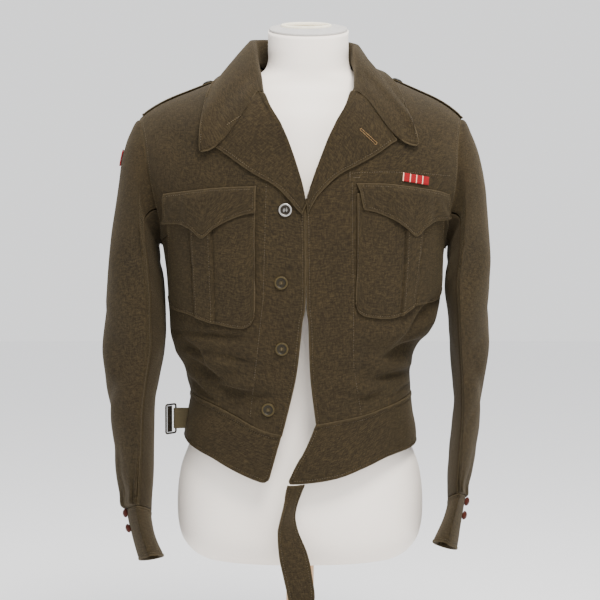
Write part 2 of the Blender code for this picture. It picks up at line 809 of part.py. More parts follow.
def collar_sag(share, station):
    end = max(1 - station, 0.0) ** 2
    swell = COLLAR_SWELL * math.sin(math.pi * share)
    return swell - COLLAR_END_BOW * math.sin(math.pi * share ** 1.4) * end


# The outward value is 0 at the roll and 1 at the lapel's free edge
def lapel_surface(side):
    name = SIDE_NAMES[side]
    tip_x = LAPEL.at(name + "_x", 1.0)

    def surface(outward, v):
        run = mix(*LAPEL_ROLL[side], v)
        roll_x = FRONT_EDGE.at(name, run)
        height = ridge_height(abs(roll_x - NECK_LEAN)) - drop_after(run)
        roll_x -= side * ROLL_BEYOND
        across = mix(roll_x, LAPEL.at(name + "_x", v), outward)
        top_x = mix(FRONT_EDGE.at(name, LAPEL_ROLL[side][1]), tip_x, outward)
        top = gorge_height(side, top_x) - LAPEL_GAP - LAPEL_ROLL_DROP * (1 - outward) ** 4
        straight_top = mix(gorge_height(side, FRONT_EDGE.at(name, LAPEL_ROLL[side][1])) - LAPEL_GAP,
                           gorge_height(side, tip_x) - LAPEL_GAP, outward)
        edge_z = mix(LAPEL.at(name + "_z", v), gorge_height(side, tip_x) - LAPEL_GAP, v ** 6)
        low = mix(height, edge_z, outward) + (top - straight_top) * v ** 2
        lift = RESTING_GAP + BODY_WALL + LAPEL_EXTRA_LIFT + ROLL_LIFT * (1 - outward) ** 2
        if outward == 0:
            lift = LAPEL_EDGE_LIFT
        return point_on_front(across, low, lift)
    return surface


# Half of the collar from the gorge in front to the middle of the back: the seam at the neck,
# the roll at the top and the free outer edge, each as distance out, depth and height
COLLAR = Table(
    ("station", "seam_x", "seam_y", "seam_z", "roll_x", "roll_y", "roll_z",
     "edge_x", "edge_y", "edge_z"),
    (
        (0.0, 0.0600, -0.1020, 0.8340, 0.0660, -0.1040, 0.8390, 0.1465, -0.128, 0.7640),
        (1.0, 0.0655, -0.0660, 0.8640, 0.0705, -0.0680, 0.8760, 0.1450, -0.105, 0.8050),
        (2.0, 0.0685, -0.0330, 0.8760, 0.0735, -0.0340, 0.9020, 0.1370, -0.060, 0.8400),
        (3.0, 0.0700, 0.0000, 0.8800, 0.0760, 0.0020, 0.9180, 0.1210, -0.012, 0.8600),
        (4.0, 0.0660, 0.0330, 0.8800, 0.0730, 0.0400, 0.9240, 0.1070, 0.040, 0.8640),
        (5.0, 0.0400, 0.0560, 0.8760, 0.0460, 0.0690, 0.9260, 0.0720, 0.0840, 0.8620),
        (6.0, 0.0000, 0.0630, 0.8750, 0.0000, 0.0800, 0.9270, 0.0000, 0.1010, 0.8600),
    ),
)


# Rounds the corner at the roll with an arc that touches both legs
def rounded_corner(seam, roll, edge, radius, share):
    down = (seam - roll).normalized()
    out = (edge - roll).normalized()
    half = 0.5 * math.acos(max(min(down.dot(out), 1.0), -1.0))
    inward = (down + out).normalized() if half < math.radians(88) else Vector((0, 0, -1))
    leg = min(radius / math.tan(half), 0.6 * (seam - roll).length)
    centre = roll + inward * (leg / math.cos(half))
    start = roll + down * leg
    end = roll + out * leg
    size = (start - centre).length
    spoke = (start - centre).lerp(end - centre, share)
    middle = roll - centre
    bulge = 4 * share * (1 - share)
    spoke = spoke.lerp(middle, 0.35 * bulge)
    return centre + spoke.normalized() * size, start, end


def collar_surface(u, v):
    station = 2 * COLLAR_STATIONS * u
    side = RIGHT if station > COLLAR_STATIONS else LEFT
    key = 2 * COLLAR_STATIONS - station if side == RIGHT else station
    points = []
    for name in ("seam", "roll", "edge"):
        x, y, z = (COLLAR.at(f"{name}_{axis}", key) for axis in "xyz")
        if side == LEFT:
            x *= 1 - COLLAR_SKEW * math.sin(math.pi * key / COLLAR_STATIONS) ** 2
        points.append(Vector((side * x + NECK_LEAN, y, z)))
    seam, roll, edge = points
    if v < STAND_PART:
        start = rounded_corner(seam, roll, edge, COLLAR_ROLL_RADIUS, 0.0)[1]
        point = seam.lerp(start, v / STAND_PART)
    elif v <= ROLL_PART:
        share = (v - STAND_PART) / (ROLL_PART - STAND_PART)
        point = rounded_corner(seam, roll, edge, COLLAR_ROLL_RADIUS, share)[0]
    else:
        end = rounded_corner(seam, roll, edge, COLLAR_ROLL_RADIUS, 1.0)[2]
        share = (v - ROLL_PART) / (1 - ROLL_PART)
        point = end.lerp(edge, share)
        point.z += collar_sag(share, key)
    lift = COLLAR_SEAM_LIFT if v == 0 else COLLAR_STAND_LIFT
    if v > STAND_PART:
        lift = RESTING_GAP + BODY_WALL + ROLL_LIFT
    return clear_of_body(point, lift)


# Shoulder strap along the ridge, from the sleeve seam to the collar's edge
def strap_surface(side):
    def surface(u, v):
        away = mix(STRAP_START, STRAP_END, u)
        point_share = smooth_step((u - STRAP_TIP_START) / (1 - STRAP_TIP_START))
        half = STRAP_HALF * mix(1.0, STRAP_TIP, point_share) * mix(1.0, STRAP_TAPER, u)
        run = STRAP_SHIFT * u + half * (2 * v - 1)
        face = FRONT if run < 0 else BACK
        angle = angle_at(side * away + STRAP_LEAN, ridge_height(away))
        return cloth_point(face, angle, abs(run), STRAP_GAP + PATCH_WALL)
    return surface


# The strap's free length hangs from the waistband's left end and twists as it falls
HANGING = Table(
    ("height", "left_x", "right_x", "left_y", "right_y"),
    (
        (0.1370, -0.0090, 0.0030, -0.1300, -0.1280),
        (0.1415, -0.0140, 0.0135, -0.1310, -0.1280),
        (0.1560, -0.0160, 0.0200, -0.1320, -0.1280),
        (0.1880, -0.0230, 0.0165, -0.1330, -0.1260),
        (0.2150, -0.0285, 0.0105, -0.1345, -0.1230),
        (0.2450, -0.0300, -0.0010, -0.1370, -0.1160),
        (0.2650, -0.0255, -0.0060, -0.1380, -0.1120),
        (0.2800, -0.0225, -0.0045, -0.1340, -0.1130),
        (0.2960, -0.0205, 0.0015, -0.1270, -0.1180),
        (0.3095, -0.0175, 0.0070, -0.1225, -0.1225),
    ),
)


def hanging_surface(u, v):
    heights = HANGING.column("height")
    height = mix(heights[0], heights[-1], v)
    x = mix(HANGING.at("left_x", height), HANGING.at("right_x", height), u)
    y = mix(HANGING.at("left_y", height), HANGING.at("right_y", height), u)
    curl = 0.0015 * math.sin(math.pi * u)
    return Vector((x, y - curl, height))


def turned_piece(name, profile, steps, material, collection):
    shape = bmesh.new()
    verts = [shape.verts.new((radius, 0.0, height)) for radius, height in profile]
    for first, second in zip(verts, verts[1:]):
        shape.edges.new((first, second))
    piece = add_object(name, finish_mesh(shape, name), material, collection)
    screw = piece.modifiers.new("Turned", "SCREW")
    screw.steps = steps
    screw.render_steps = steps
    screw.use_merge_vertices = True
    screw.merge_threshold = 0.00001
    screw.use_smooth_shade = True
    return piece


def button_profile(radius, thickness, dome):
    return (
        (0.0, thickness + dome),
        (0.62 * radius, thickness + 0.75 * dome),
        (radius, 0.6 * thickness),
        (0.92 * radius, 0.0),
        (0.0, 0.0),
    )


def place_on(piece, point, normal):
    piece.location = point
    piece.rotation_mode = "QUATERNION"
    piece.rotation_quaternion = normal.to_track_quat("Z", "Y")


# Form: half width, front and back depth and middle of each ring, from the bottom to the neck
FORM = Table(
    ("height", "half", "front", "back", "lean"),
    (
        (0.1900, 0.116, 0.060, 0.064, 0.000),
        (0.1935, 0.133, 0.072, 0.077, 0.000),
        (0.2050, 0.152, 0.084, 0.090, 0.000),
        (0.2280, 0.167, 0.093, 0.101, 0.000),
        (0.2700, 0.172, 0.097, 0.106, 0.000),
        (0.3200, 0.167, 0.095, 0.104, 0.000),
        (0.3620, 0.152, 0.092, 0.096, 0.000),
        (0.4050, 0.140, 0.090, 0.088, 0.001),
        (0.4600, 0.140, 0.094, 0.088, 0.002),
        (0.5300, 0.152, 0.106, 0.096, 0.004),
        (0.6000, 0.166, 0.118, 0.103, 0.006),
        (0.6600, 0.175, 0.119, 0.107, 0.008),
        (0.7200, 0.182, 0.112, 0.108, 0.009),
        (0.7700, 0.187, 0.098, 0.104, 0.006),
        (0.8050, 0.188, 0.086, 0.094, 0.0045),
        (0.8266, 0.184, 0.073, 0.076, 0.0045),
        (0.8418, 0.155, 0.064, 0.066, 0.0065),
        (0.8552, 0.117, 0.055, 0.052, 0.0085),
        (0.8680, 0.070, 0.052, 0.049, 0.0105),
        (0.8810, 0.0575, 0.052, 0.050, 0.0115),
        (0.9050, 0.056, 0.052, 0.051, 0.0115),
        (0.9290, 0.056, 0.052, 0.052, 0.0115),
    ),
)


def form_point(turn, height):
    half = FORM.at("half", height)
    deep = FORM.at("front" if math.sin(turn) < 0 else "back", height)
    power = 2 / FORM_ROUNDNESS
    across = math.copysign(abs(math.cos(turn)) ** power, math.cos(turn))
    forward = math.copysign(abs(math.sin(turn)) ** power, math.sin(turn))
    return Vector((half * across + FORM.at("lean", height), deep * forward, height))


# The neck's top is cut on a slant that falls to the front
def slanted(point):
    high = smooth_step((point.z - NECK_SLANT_START) / (NECK_TOP - NECK_SLANT_START))
    return Vector((point.x, point.y, point.z + NECK_SLANT * point.y * high))


def add_form(material, collection):
    heights = FORM.column("height")
    shape = bmesh.new()
    bmesh.ops.create_uvsphere(shape, u_segments=FORM_SPOKES, v_segments=len(heights) + 1, radius=1.0)
    for vert in shape.verts:
        latitude = math.asin(max(min(vert.co.z, 1.0), -1.0)) / math.pi + 0.5
        ring = round(latitude * (len(heights) + 1))
        turn = math.atan2(vert.co.y, vert.co.x)
        if ring == 0:
            vert.co = Vector((0.0, 0.0, FORM_BOTTOM))
        elif ring > len(heights):
            vert.co = slanted(Vector((NECK_LEAN, 0.0, NECK_TOP)))
        else:
            vert.co = slanted(form_point(turn, heights[ring - 1]))
    piece = add_object("form_torso", finish_mesh(shape, "form_torso"), material, collection)
    piece.data.shade_smooth()
    return piece


def add_neck_cap(material, collection, cutters):
    middle = slanted(Vector((NECK_LEAN, 0.0, NECK_TOP)))
    lift = RESTING_GAP + CAP_THICKNESS / 2
    slant = math.atan(NECK_SLANT)
    bpy.ops.mesh.primitive_cylinder_add(vertices=FORM_SPOKES, radius=1.0, depth=1.0)
    cap = bpy.context.object
    cap.name = "form_neck_cap"
    move_to(cap, collection)
    size_mesh(cap, (*CAP_HALF, CAP_THICKNESS))
    cap.location = middle + Vector((0.0, 0.0, lift))
    cap.rotation_euler = (slant, 0.0, 0.0)
    cap.data.materials.append(material)
    bpy.ops.mesh.primitive_cylinder_add(vertices=22, radius=1.0, depth=1.0)
    hole = bpy.context.object
    hole.name = "neck_hole_cutter"
    move_to(hole, cutters)
    size_mesh(hole, (*CAP_HOLE_HALF, 4 * CAP_THICKNESS))
    hole.location = cap.location + Vector(CAP_HOLE_PLACE)
    hole.rotation_euler = cap.rotation_euler
    hole.hide_render = True
    hole.display_type = "WIRE"
    cut = cap.modifiers.new("Hole", "BOOLEAN")
    cut.operation = "DIFFERENCE"
    cut.object = hole
    return cap


def size_mesh(piece, scale):
    for vert in piece.data.vertices:
        vert.co = Vector(a * b for a, b in zip(vert.co, scale))


def move_to(piece, collection):
    for other in piece.users_collection:
        other.objects.unlink(piece)
    collection.objects.link(piece)


def add_stand(wood, painted, collection):
    pole_top = FORM_BOTTOM - RESTING_GAP
    pole_bottom = BASE_HEIGHT + RESTING_GAP
    turned_piece(
        "stand_pole",
        ((0.0, pole_top), (POLE_RADIUS, pole_top), (POLE_RADIUS, pole_bottom), (0.0, pole_bottom)),
        20, wood, collection)
    turned_piece(
        "stand_base",
        ((0.0, BASE_HEIGHT), (BASE_RADIUS - 2 * BASE_RIM, BASE_HEIGHT),
         (BASE_RADIUS, BASE_HEIGHT - BASE_RIM), (BASE_RADIUS, 0.0), (0.0, 0.0)),
        36, painted, collection)


# Grid lines of the pieces
PANEL_ROWS = shares(15)[:-1] + [1 - EDGE, 1.0]
BACK_LINES = [0.0, EDGE] + shares(18)[1:-1] + [1 - EDGE, 1.0]
COLLAR_ROWS = (0.0, 0.13, 0.26, 0.34, 0.42, 0.5, 0.62, 0.75, 0.88, 1.0)
FLAP_ROWS = (2.0, 1.65, 1.3, 1.0, 0.4, 0.0)
LAPEL_LINES = (0.0, 0.05, 0.15, 0.4, 0.7, 1.0)
SLEEVE_LINES_DOWN = [14, 13, 12.4, 12, 11.5, 11, 10, 9, 8, 7, 6, 5, 4, 3, 2, 1, 0.4, 0.04, 0]


# Lines that run from the wearer's right to the left, whichever side the piece is on
def rightward(side, lines):
    return lines if side == LEFT else list(reversed(lines))


def half_sleeve_lines(start, end, stops):
    turns = [start, mix(start, end, EDGE)]
    for (first, last), count in stops:
        turns += [mix(first, last, share) for share in shares(count)[1:]]
    turns = turns[:-1] + [mix(end, start, EDGE), end]
    return [(turn - start) / (end - start) for turn in turns]


BACK_SEAM = SLEEVE_BACK_SEAM - 360.0
TOP_SLEEVE_LINES = half_sleeve_lines(
    BACK_SEAM, SLEEVE_FRONT_SEAM, (((BACK_SEAM, 0.0), 6), ((0.0, SLEEVE_FRONT_SEAM), 7)))
UNDER_SLEEVE_LINES = half_sleeve_lines(
    SLEEVE_FRONT_SEAM, SLEEVE_BACK_SEAM, (((SLEEVE_FRONT_SEAM, SLEEVE_BACK_SEAM), 7),))


def front_lines(side):
    outward = shares(10)[:-1] + [1 - EDGE, 1.0]
    return outward if side == LEFT else [1 - line for line in reversed(outward)]


def pocket_lines(side):
    flat = PLEAT_HALF - PLEAT_SLOPE
    corner = [POCKET_INNER + POCKET_CORNER * share for share in (0.0, 0.12, 0.4, 1.0)]
    plain = [mix(corner[-1], PLEAT_MIDDLE - PLEAT_HALF, share) for share in (0.33, 0.67)]
    pleat = [PLEAT_MIDDLE + step for step in (-PLEAT_HALF, -flat, 0.0, flat, PLEAT_HALF)]
    far = [POCKET_OUTER - POCKET_CORNER * share for share in (1.6, 1.0, 0.6, 0.3, 0.1, 0.0)]
    return rightward(side, corner + plain + pleat + far)


def flap_lines(side):
    outer = [FLAP_OUTER - 0.007 * step for step in (2, 1, 0)]
    return rightward(side, [mix(FLAP_INNER, outer[0], share) for share in shares(12)[:-1]] + outer)


def ribbon_surface(u, v):
    x = RIBBON_SIZE[0] * (u - 0.5)
    z = RIBBON_SIZE[1] * (v - 0.5)
    across = RIBBON_MIDDLE[0] + x * math.cos(RIBBON_TILT) - z * math.sin(RIBBON_TILT)
    height = RIBBON_MIDDLE[1] + z * math.cos(RIBBON_TILT) + x * math.sin(RIBBON_TILT)
    return point_on_front(across, height, RESTING_GAP + PATCH_WALL)


def sleeve_normal(side, turn, row):
    around = sleeve_point(side, turn + 1, row) - sleeve_point(side, turn - 1, row)
    down = sleeve_point(side, turn, row + 0.02) - sleeve_point(side, turn, row - 0.02)
    return around.cross(down).normalized() * side


def flash_surface(u, v):
    turn = mix(*FLASH_TURNS, u)
    row = mix(*FLASH_ROWS_DOWN, 1 - v)
    out = sleeve_normal(RIGHT, turn, row)
    return sleeve_point(RIGHT, turn, row) + out * (RESTING_GAP + PATCH_WALL)


def add_strap_button(side, material, collection):
    away = STRAP_END + 1.2 * STRAP_BUTTON[0]
    angle = angle_at(side * away + STRAP_LEAN, ridge_height(away))
    run = STRAP_SHIFT * 0.9
    lift = STRAP_GAP + PATCH_WALL + RESTING_GAP
    button = turned_piece(f"strap_button_{SIDE_NAMES[side]}",
                          button_profile(*STRAP_BUTTON), 12, material, collection)
    place_on(button, cloth_point(BACK, angle, run, lift), body_normal(BACK, angle, run))


FRONT_BUTTONS = Table(
    ("number", "across", "height", "lift"),
    (
        (1, -0.0197, 0.6815, 0.0001),
        (2, -0.0251, 0.5840, 0.0009),
        (3, -0.0242, 0.4950, -0.0004),
        (4, -0.0427, 0.4120, 0.0009),
    ),
)


def add_front_buttons(bright, dark, collection):
    for number, across, height, lift in FRONT_BUTTONS.rows:
        button = turned_piece(f"front_button_{number}",
                              button_profile(*FRONT_BUTTON), 14,
                              bright if number == 1 else dark, collection)
        angle = angle_at(across, height)
        run = run_to(ridge_height(0.0) - height)
        place_on(button, point_on_front(across, height, lift), body_normal(FRONT, angle, run))


def add_cuff_buttons(side, material, collection):
    surface = cuff_surface(side)
    u = (CUFF_BUTTON_TURN + 360.0 - CUFF_START) / (360.0 + CUFF_OVERLAP)
    for number, down in enumerate(CUFF_BUTTON_STEPS[side], 1):
        point = surface(u, 1 - down)
        around = surface(u + 0.01, 1 - down) - surface(u - 0.01, 1 - down)
        along = surface(u, 1 - down - 0.05) - surface(u, 1 - down + 0.05)
        normal = (around.cross(along) * side).normalized()
        button = turned_piece(f"cuff_button_{SIDE_NAMES[side]}_{number}",
                              button_profile(*CUFF_BUTTON), 12, material, collection)
        place_on(button, point + normal * 1.6 * RESTING_GAP, normal)


# Runs from the waistband out to the buckle's bar, around it and back
def tab_surface(u, v):
    radius = BUCKLE_WIRE + TAB_CLEARANCE
    height = BUCKLE_AXIS.z + TAB_HEIGHT * (v - 0.5)
    out = Vector((-1.0, -0.25, 0.0)).normalized()
    aside = Vector((-out.y, out.x, 0.0))
    bar = Vector((BUCKLE_AXIS.x, BUCKLE_AXIS.y, height))
    half_turn = (u - TAB_LEG) / (1 - 2 * TAB_LEG)
    if half_turn < 0:
        root = band_side(height) + aside * -radius
        return root.lerp(bar - aside * radius, u / TAB_LEG)
    if half_turn > 1:
        root = band_side(height) + aside * radius
        return root.lerp(bar + aside * radius, (1 - u) / TAB_LEG)
    turn = math.pi * half_turn
    return bar - aside * radius * math.cos(turn) + out * radius * math.sin(turn)


def band_side(height):
    out = Vector((-1.0, -0.25, 0.0)).normalized()
    reach = reach_at(RIGHT, height)
    surface_x = -reach * TAB_ROOT_SHARE - TAB_ROOT_GAP
    length = (BUCKLE_AXIS.x - surface_x) / out.x
    return Vector((surface_x, BUCKLE_AXIS.y - out.y * length, height))


def add_buckle(material, collection):
    pivot = bpy.data.objects.new("buckle_pivot", None)
    pivot.location = BUCKLE_AXIS
    pivot.rotation_euler = (0.0, 0.0, BUCKLE_SWING)
    collection.objects.link(pivot)
    curve = bpy.data.curves.new("buckle_frame", "CURVE")
    curve.dimensions = "3D"
    curve.bevel_depth = BUCKLE_WIRE
    curve.bevel_resolution = 2
    spline = curve.splines.new("POLY")
    points = frame_outline()
    spline.points.add(len(points) - 1)
    for place, point in zip(spline.points, points):
        place.co = (*point, 1.0)
    spline.use_cyclic_u = True
    curve.materials.append(material)
    frame = bpy.data.objects.new("buckle_frame", curve)
    collection.objects.link(frame)
    frame.parent = pivot
    bpy.ops.mesh.primitive_cube_add(size=1.0)
    plate = bpy.context.object
    plate.name = "buckle_plate"
    move_to(plate, collection)
    tall = BUCKLE_HEIGHT - 2 * BUCKLE_WIRE - 2 * RESTING_GAP
    size_mesh(plate, (PLATE_WIDTH, PLATE_THICKNESS, tall))
    plate.location = (-PLATE_PLACE * BUCKLE_WIDTH, 0.0, 0.0)
    plate.data.materials.append(material)
    plate.parent = pivot


# Rounded rectangle that starts on the pivot's bar and goes outward
def frame_outline():
    half = BUCKLE_HEIGHT / 2
    points = []
    corners = (
        (-BUCKLE_CORNER, half - BUCKLE_CORNER, 0.0),
        (-BUCKLE_WIDTH + BUCKLE_CORNER, half - BUCKLE_CORNER, 90.0),
        (-BUCKLE_WIDTH + BUCKLE_CORNER, -half + BUCKLE_CORNER, 180.0),
        (-BUCKLE_CORNER, -half + BUCKLE_CORNER, 270.0),
    )
    for x, z, start in corners:
        for step in (0.0, 45.0, 90.0):
            angle = math.radians(start + step)
            points.append((x + BUCKLE_CORNER * math.cos(angle), 0.0,
                           z + BUCKLE_CORNER * math.sin(angle)))
    return points


# Main
for old in list(bpy.data.objects):
    bpy.data.objects.remove(old, do_unlink=True)

jacket = make_collection("battledress_jacket")
cutters = make_collection("cutters")
cutters.hide_render = True

serge = make_material("olive_serge", (0.082, 0.064, 0.034), 0.93)
calico = make_material("form_calico", (0.78, 0.75, 0.70), 0.8)
cap_cloth = make_material("cap_grey", (0.50, 0.50, 0.49), 0.75)
pine = make_material("pole_wood", (0.52, 0.33, 0.17), 0.5)
base_paint = make_material("base_paint", (0.72, 0.70, 0.66), 0.5)
brass = make_material("button_brass", (0.16, 0.13, 0.07), 0.4, 0.85)
steel = make_material("button_silver", (0.55, 0.55, 0.53), 0.3, 0.9)
horn = make_material("button_brown", (0.16, 0.045, 0.02), 0.3)
buckle_metal = make_material("buckle_metal", (0.09, 0.085, 0.08), 0.35, 0.9)
khaki = make_material("khaki_tape", (0.20, 0.17, 0.10), 0.9)
ribbon_red = make_material("ribbon_red", (0.55, 0.03, 0.04), 0.6)
flash_red = make_material("flash_red", (0.45, 0.03, 0.03), 0.85)

add_form(calico, jacket)
add_neck_cap(cap_cloth, jacket, cutters)
add_stand(pine, base_paint, jacket)

cloth_panel("back", back_surface, BACK_LINES, PANEL_ROWS, BODY_WALL, serge, jacket)
for side, name in SIDE_NAMES.items():
    mirrored = side == LEFT
    cloth_panel(f"front_{name}", front_surface(side), front_lines(side), PANEL_ROWS,
                BODY_WALL, serge, jacket)
    cloth_panel(f"sleeve_top_{name}", half_sleeve(side, BACK_SEAM, SLEEVE_FRONT_SEAM),
                TOP_SLEEVE_LINES, SLEEVE_LINES_DOWN, BODY_WALL, serge, jacket, mirrored)
    cloth_panel(f"sleeve_under_{name}", half_sleeve(side, SLEEVE_FRONT_SEAM, SLEEVE_BACK_SEAM),
                UNDER_SLEEVE_LINES, SLEEVE_LINES_DOWN, BODY_WALL, serge, jacket, mirrored)
    cloth_panel(f"cuff_{name}", cuff_surface(side), shares(22), shares(3),
                FOLDED_WALL, serge, jacket, mirrored)
    cloth_panel(f"lapel_{name}", lapel_surface(side), rightward(side, LAPEL_LINES), shares(7),
                BODY_WALL, serge, jacket)
    cloth_panel(f"pocket_{name}", pocket_surface(side), pocket_lines(side), shares(6),
                PATCH_WALL, serge, jacket)
    cloth_panel(f"flap_{name}", flap_surface(side), flap_lines(side), FLAP_ROWS,
                PATCH_WALL, serge, jacket)
    cloth_panel(f"shoulder_strap_{name}", strap_surface(side), shares(8), shares(4),
                PATCH_WALL, serge, jacket, mirrored)
    add_strap_button(side, brass, jacket)
    add_cuff_buttons(side, horn, jacket)
cloth_panel("collar", collar_surface, shares(24), COLLAR_ROWS, BODY_WALL, serge, jacket)
cloth_panel("waistband", band_point, shares(46), shares(2), FOLDED_WALL, serge, jacket)
cloth_panel("waist_strap", hanging_surface, shares(3), shares(13), FOLDED_WALL, serge, jacket)
cloth_panel("ribbon_bar", ribbon_surface, shares(3), shares(1), PATCH_WALL, ribbon_red, jacket)
cloth_panel("sleeve_flash_right", flash_surface, shares(5), shares(1), PATCH_WALL, flash_red, jacket)
add_front_buttons(steel, brass, jacket)
cloth_panel("buckle_tab", tab_surface, shares(14), shares(1), TAB_WALL, khaki, jacket, True)
add_buckle(buckle_metal, jacket)
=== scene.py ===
# A battledress jacket that hangs open on a limbless dress form with a pole and a round base.
# Lengths are metres. The front faces -Y and the wearer's right is -X.
import math

import bpy
import numpy as np
from mathutils import Matrix, Vector, noise
from mathutils.bvhtree import BVHTree


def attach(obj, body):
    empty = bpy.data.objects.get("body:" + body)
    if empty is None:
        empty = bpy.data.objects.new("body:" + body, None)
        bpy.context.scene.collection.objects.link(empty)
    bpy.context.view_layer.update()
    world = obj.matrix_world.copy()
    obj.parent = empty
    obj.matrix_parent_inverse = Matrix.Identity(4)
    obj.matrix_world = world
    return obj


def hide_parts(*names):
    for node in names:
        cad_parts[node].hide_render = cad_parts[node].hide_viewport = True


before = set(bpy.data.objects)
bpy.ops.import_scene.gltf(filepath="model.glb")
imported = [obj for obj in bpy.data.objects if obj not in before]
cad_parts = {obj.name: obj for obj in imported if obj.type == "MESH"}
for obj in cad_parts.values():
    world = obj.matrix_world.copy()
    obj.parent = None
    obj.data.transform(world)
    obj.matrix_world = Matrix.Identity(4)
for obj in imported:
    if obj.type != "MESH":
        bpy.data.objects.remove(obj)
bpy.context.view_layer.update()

front, back = -1, 1
right, left = -1, 1
sideNames = {right: "right", left: "left"}
mainBody, buckleBody = "dressed_form", "buckle"


class Table:
    # rows of named columns, read along a smooth curve between the rows
    def __init__(self, columns, rows):
        self.columns, self.rows = columns, rows
        self.low, self.high = rows[0][0], rows[-1][0]
        self.fine = {name: self.spread(name) for name in columns}

    def column(self, name):
        place = self.columns.index(name)
        return [row[place] for row in self.rows]

    def spread(self, name, count=900):
        keys, values = self.column(self.columns[0]), self.column(name)
        out, row = [], 0
        for i in range(count + 1):
            key = self.low + (self.high - self.low) * i / count
            while row < len(keys) - 2 and key >= keys[row + 1]:
                row += 1
            step = keys[row + 1] - keys[row]
            share = min((key - keys[row]) / step, 1.0)
            slopes = [slopeAt(keys, values, place) * step for place in (row, row + 1)]
            out.append(hermite(values[row], values[row + 1], *slopes, share))
        return out

    def at(self, name, key):
        fine = self.fine[name]
        place = (key - self.low) / (self.high - self.low) * (len(fine) - 1)
        if place <= 0:
            return fine[0]
        if place >= len(fine) - 1:
            return fine[-1]
        row = int(place)
        return fine[row] + (fine[row + 1] - fine[row]) * (place - row)


def slopeAt(keys, values, row):
    before, after = max(row - 1, 0), min(row + 1, len(keys) - 1)
    return (values[after] - values[before]) / (keys[after] - keys[before])


def hermite(start, end, startSlope, endSlope, share):
    square = share * share
    cube = square * share
    return (start * (2 * cube - 3 * square + 1) + end * (3 * square - 2 * cube)
            + startSlope * (cube - 2 * square + share) + endSlope * (cube - square))


def mix(start, end, share):
    return start + (end - start) * share


def smoothStep(share):
    share = min(max(share, 0.0), 1.0)
    return share * share * (3 - 2 * share)


def smooth(values):
    values = np.clip(values, 0.0, 1.0)
    return values * values * (3 - 2 * values)


def shares(count):
    return [i / count for i in range(count + 1)]


def addObject(name, data):
    made = bpy.data.objects.new(name, data)
    bpy.context.scene.collection.objects.link(made)
    return made


# camera, light and floor
stageFacts = {
    "target": (0.0, 0.0, 0.554), "distance": 3.1, "elevation": 3.0, "lens": 132.9,
    "keyPower": 90, "fillPower": 12, "topPower": 26, "worldColour": (0.925, 0.93, 0.94),
    "worldStrength": 1.45, "floorColour": (0.92, 0.92, 0.93), "floorSize": 14, "floorDrop": 0.0005,
    "floorRoughness": 0.7, "lit": Vector((0.0, 0.0, 0.55)),
}


def makeStage():
    facts = stageFacts
    tilt = math.radians(facts["elevation"])
    target = Vector(facts["target"])
    away = Vector((0.0, -math.cos(tilt), math.sin(tilt)))
    camera = addObject("camera", bpy.data.cameras.new("camera"))
    camera.location = target + away * facts["distance"]
    camera.rotation_euler = (-away).to_track_quat("-Z", "Y").to_euler()
    camera.data.lens = facts["lens"]
    bpy.context.scene.camera = camera

    lights = (
        ("keyLight", (0.45, -1.35, 2.45), 0.8, facts["keyPower"], (1.0, 0.965, 0.91)),
        ("fillLight", (1.9, -2.4, 1.1), 1.8, facts["fillPower"], (0.95, 0.97, 1.0)),
        ("topLight", (0.0, 0.6, 2.6), 1.4, facts["topPower"], (1.0, 1.0, 1.0)),
    )
    for name, place, size, power, colour in lights:
        lamp = addObject(name, bpy.data.lights.new(name, "AREA"))
        lamp.location = place
        lamp.rotation_euler = (facts["lit"] - Vector(place)).to_track_quat("-Z", "Y").to_euler()
        lamp.data.size = size
        lamp.data.energy = power
        lamp.data.color = colour

    world = bpy.data.worlds.new("studio")
    world.use_nodes = True
    shade = world.node_tree.nodes["Background"]
    shade.inputs["Color"].default_value = (*facts["worldColour"], 1.0)
    shade.inputs["Strength"].default_value = facts["worldStrength"]
    bpy.context.scene.world = world

    bpy.ops.object.select_all(action="DESELECT")
    bpy.ops.mesh.primitive_plane_add(size=facts["floorSize"], location=(0, 0, -facts["floorDrop"]))
    floor = bpy.context.object
    floor.name = "floor"
    paint = bpy.data.materials.new("floor_paint")
    paint.use_nodes = True
    shader = paint.node_tree.nodes["Principled BSDF"]
    shader.inputs["Base Color"].default_value = (*facts["floorColour"], 1)
    shader.inputs["Roughness"].default_value = facts["floorRoughness"]
    floor.data.materials.append(paint)


makeStage()
print("stage made")


# shader helpers
class Sock:
    # wraps a socket or a number, so that shader maths reads as an expression
    def __init__(self, shop, value):
        self.shop, self.value = shop, value

    def join(self, operation, other, swapped=False):
        other = other.value if isinstance(other, Sock) else other
        pair = (other, self.value) if swapped else (self.value, other)
        return self.shop.node("ShaderNodeMath", {"operation": operation}, {0: pair[0], 1: pair[1]})

    def __add__(self, other):
        return self.join("ADD", other)

    def __radd__(self, other):
        return self.join("ADD", other, True)

    def __sub__(self, other):
        return self.join("SUBTRACT", other)

    def __rsub__(self, other):
        return self.join("SUBTRACT", other, True)

    def __mul__(self, other):
        return self.join("MULTIPLY", other)

    def __rmul__(self, other):
        return self.join("MULTIPLY", other, True)

    def sine(self, pitch):
        turned = self * (2 * math.pi / pitch)
        return self.shop.node("ShaderNodeMath", {"operation": "SINE"}, {0: turned.value})

    def wave(self, pitch):
        return self.sine(pitch) * 0.5 + 0.5

    def size(self):
        return self.shop.node("ShaderNodeMath", {"operation": "ABSOLUTE"}, {0: self.value})

    def over(self, level):
        return self.join("GREATER_THAN", level)


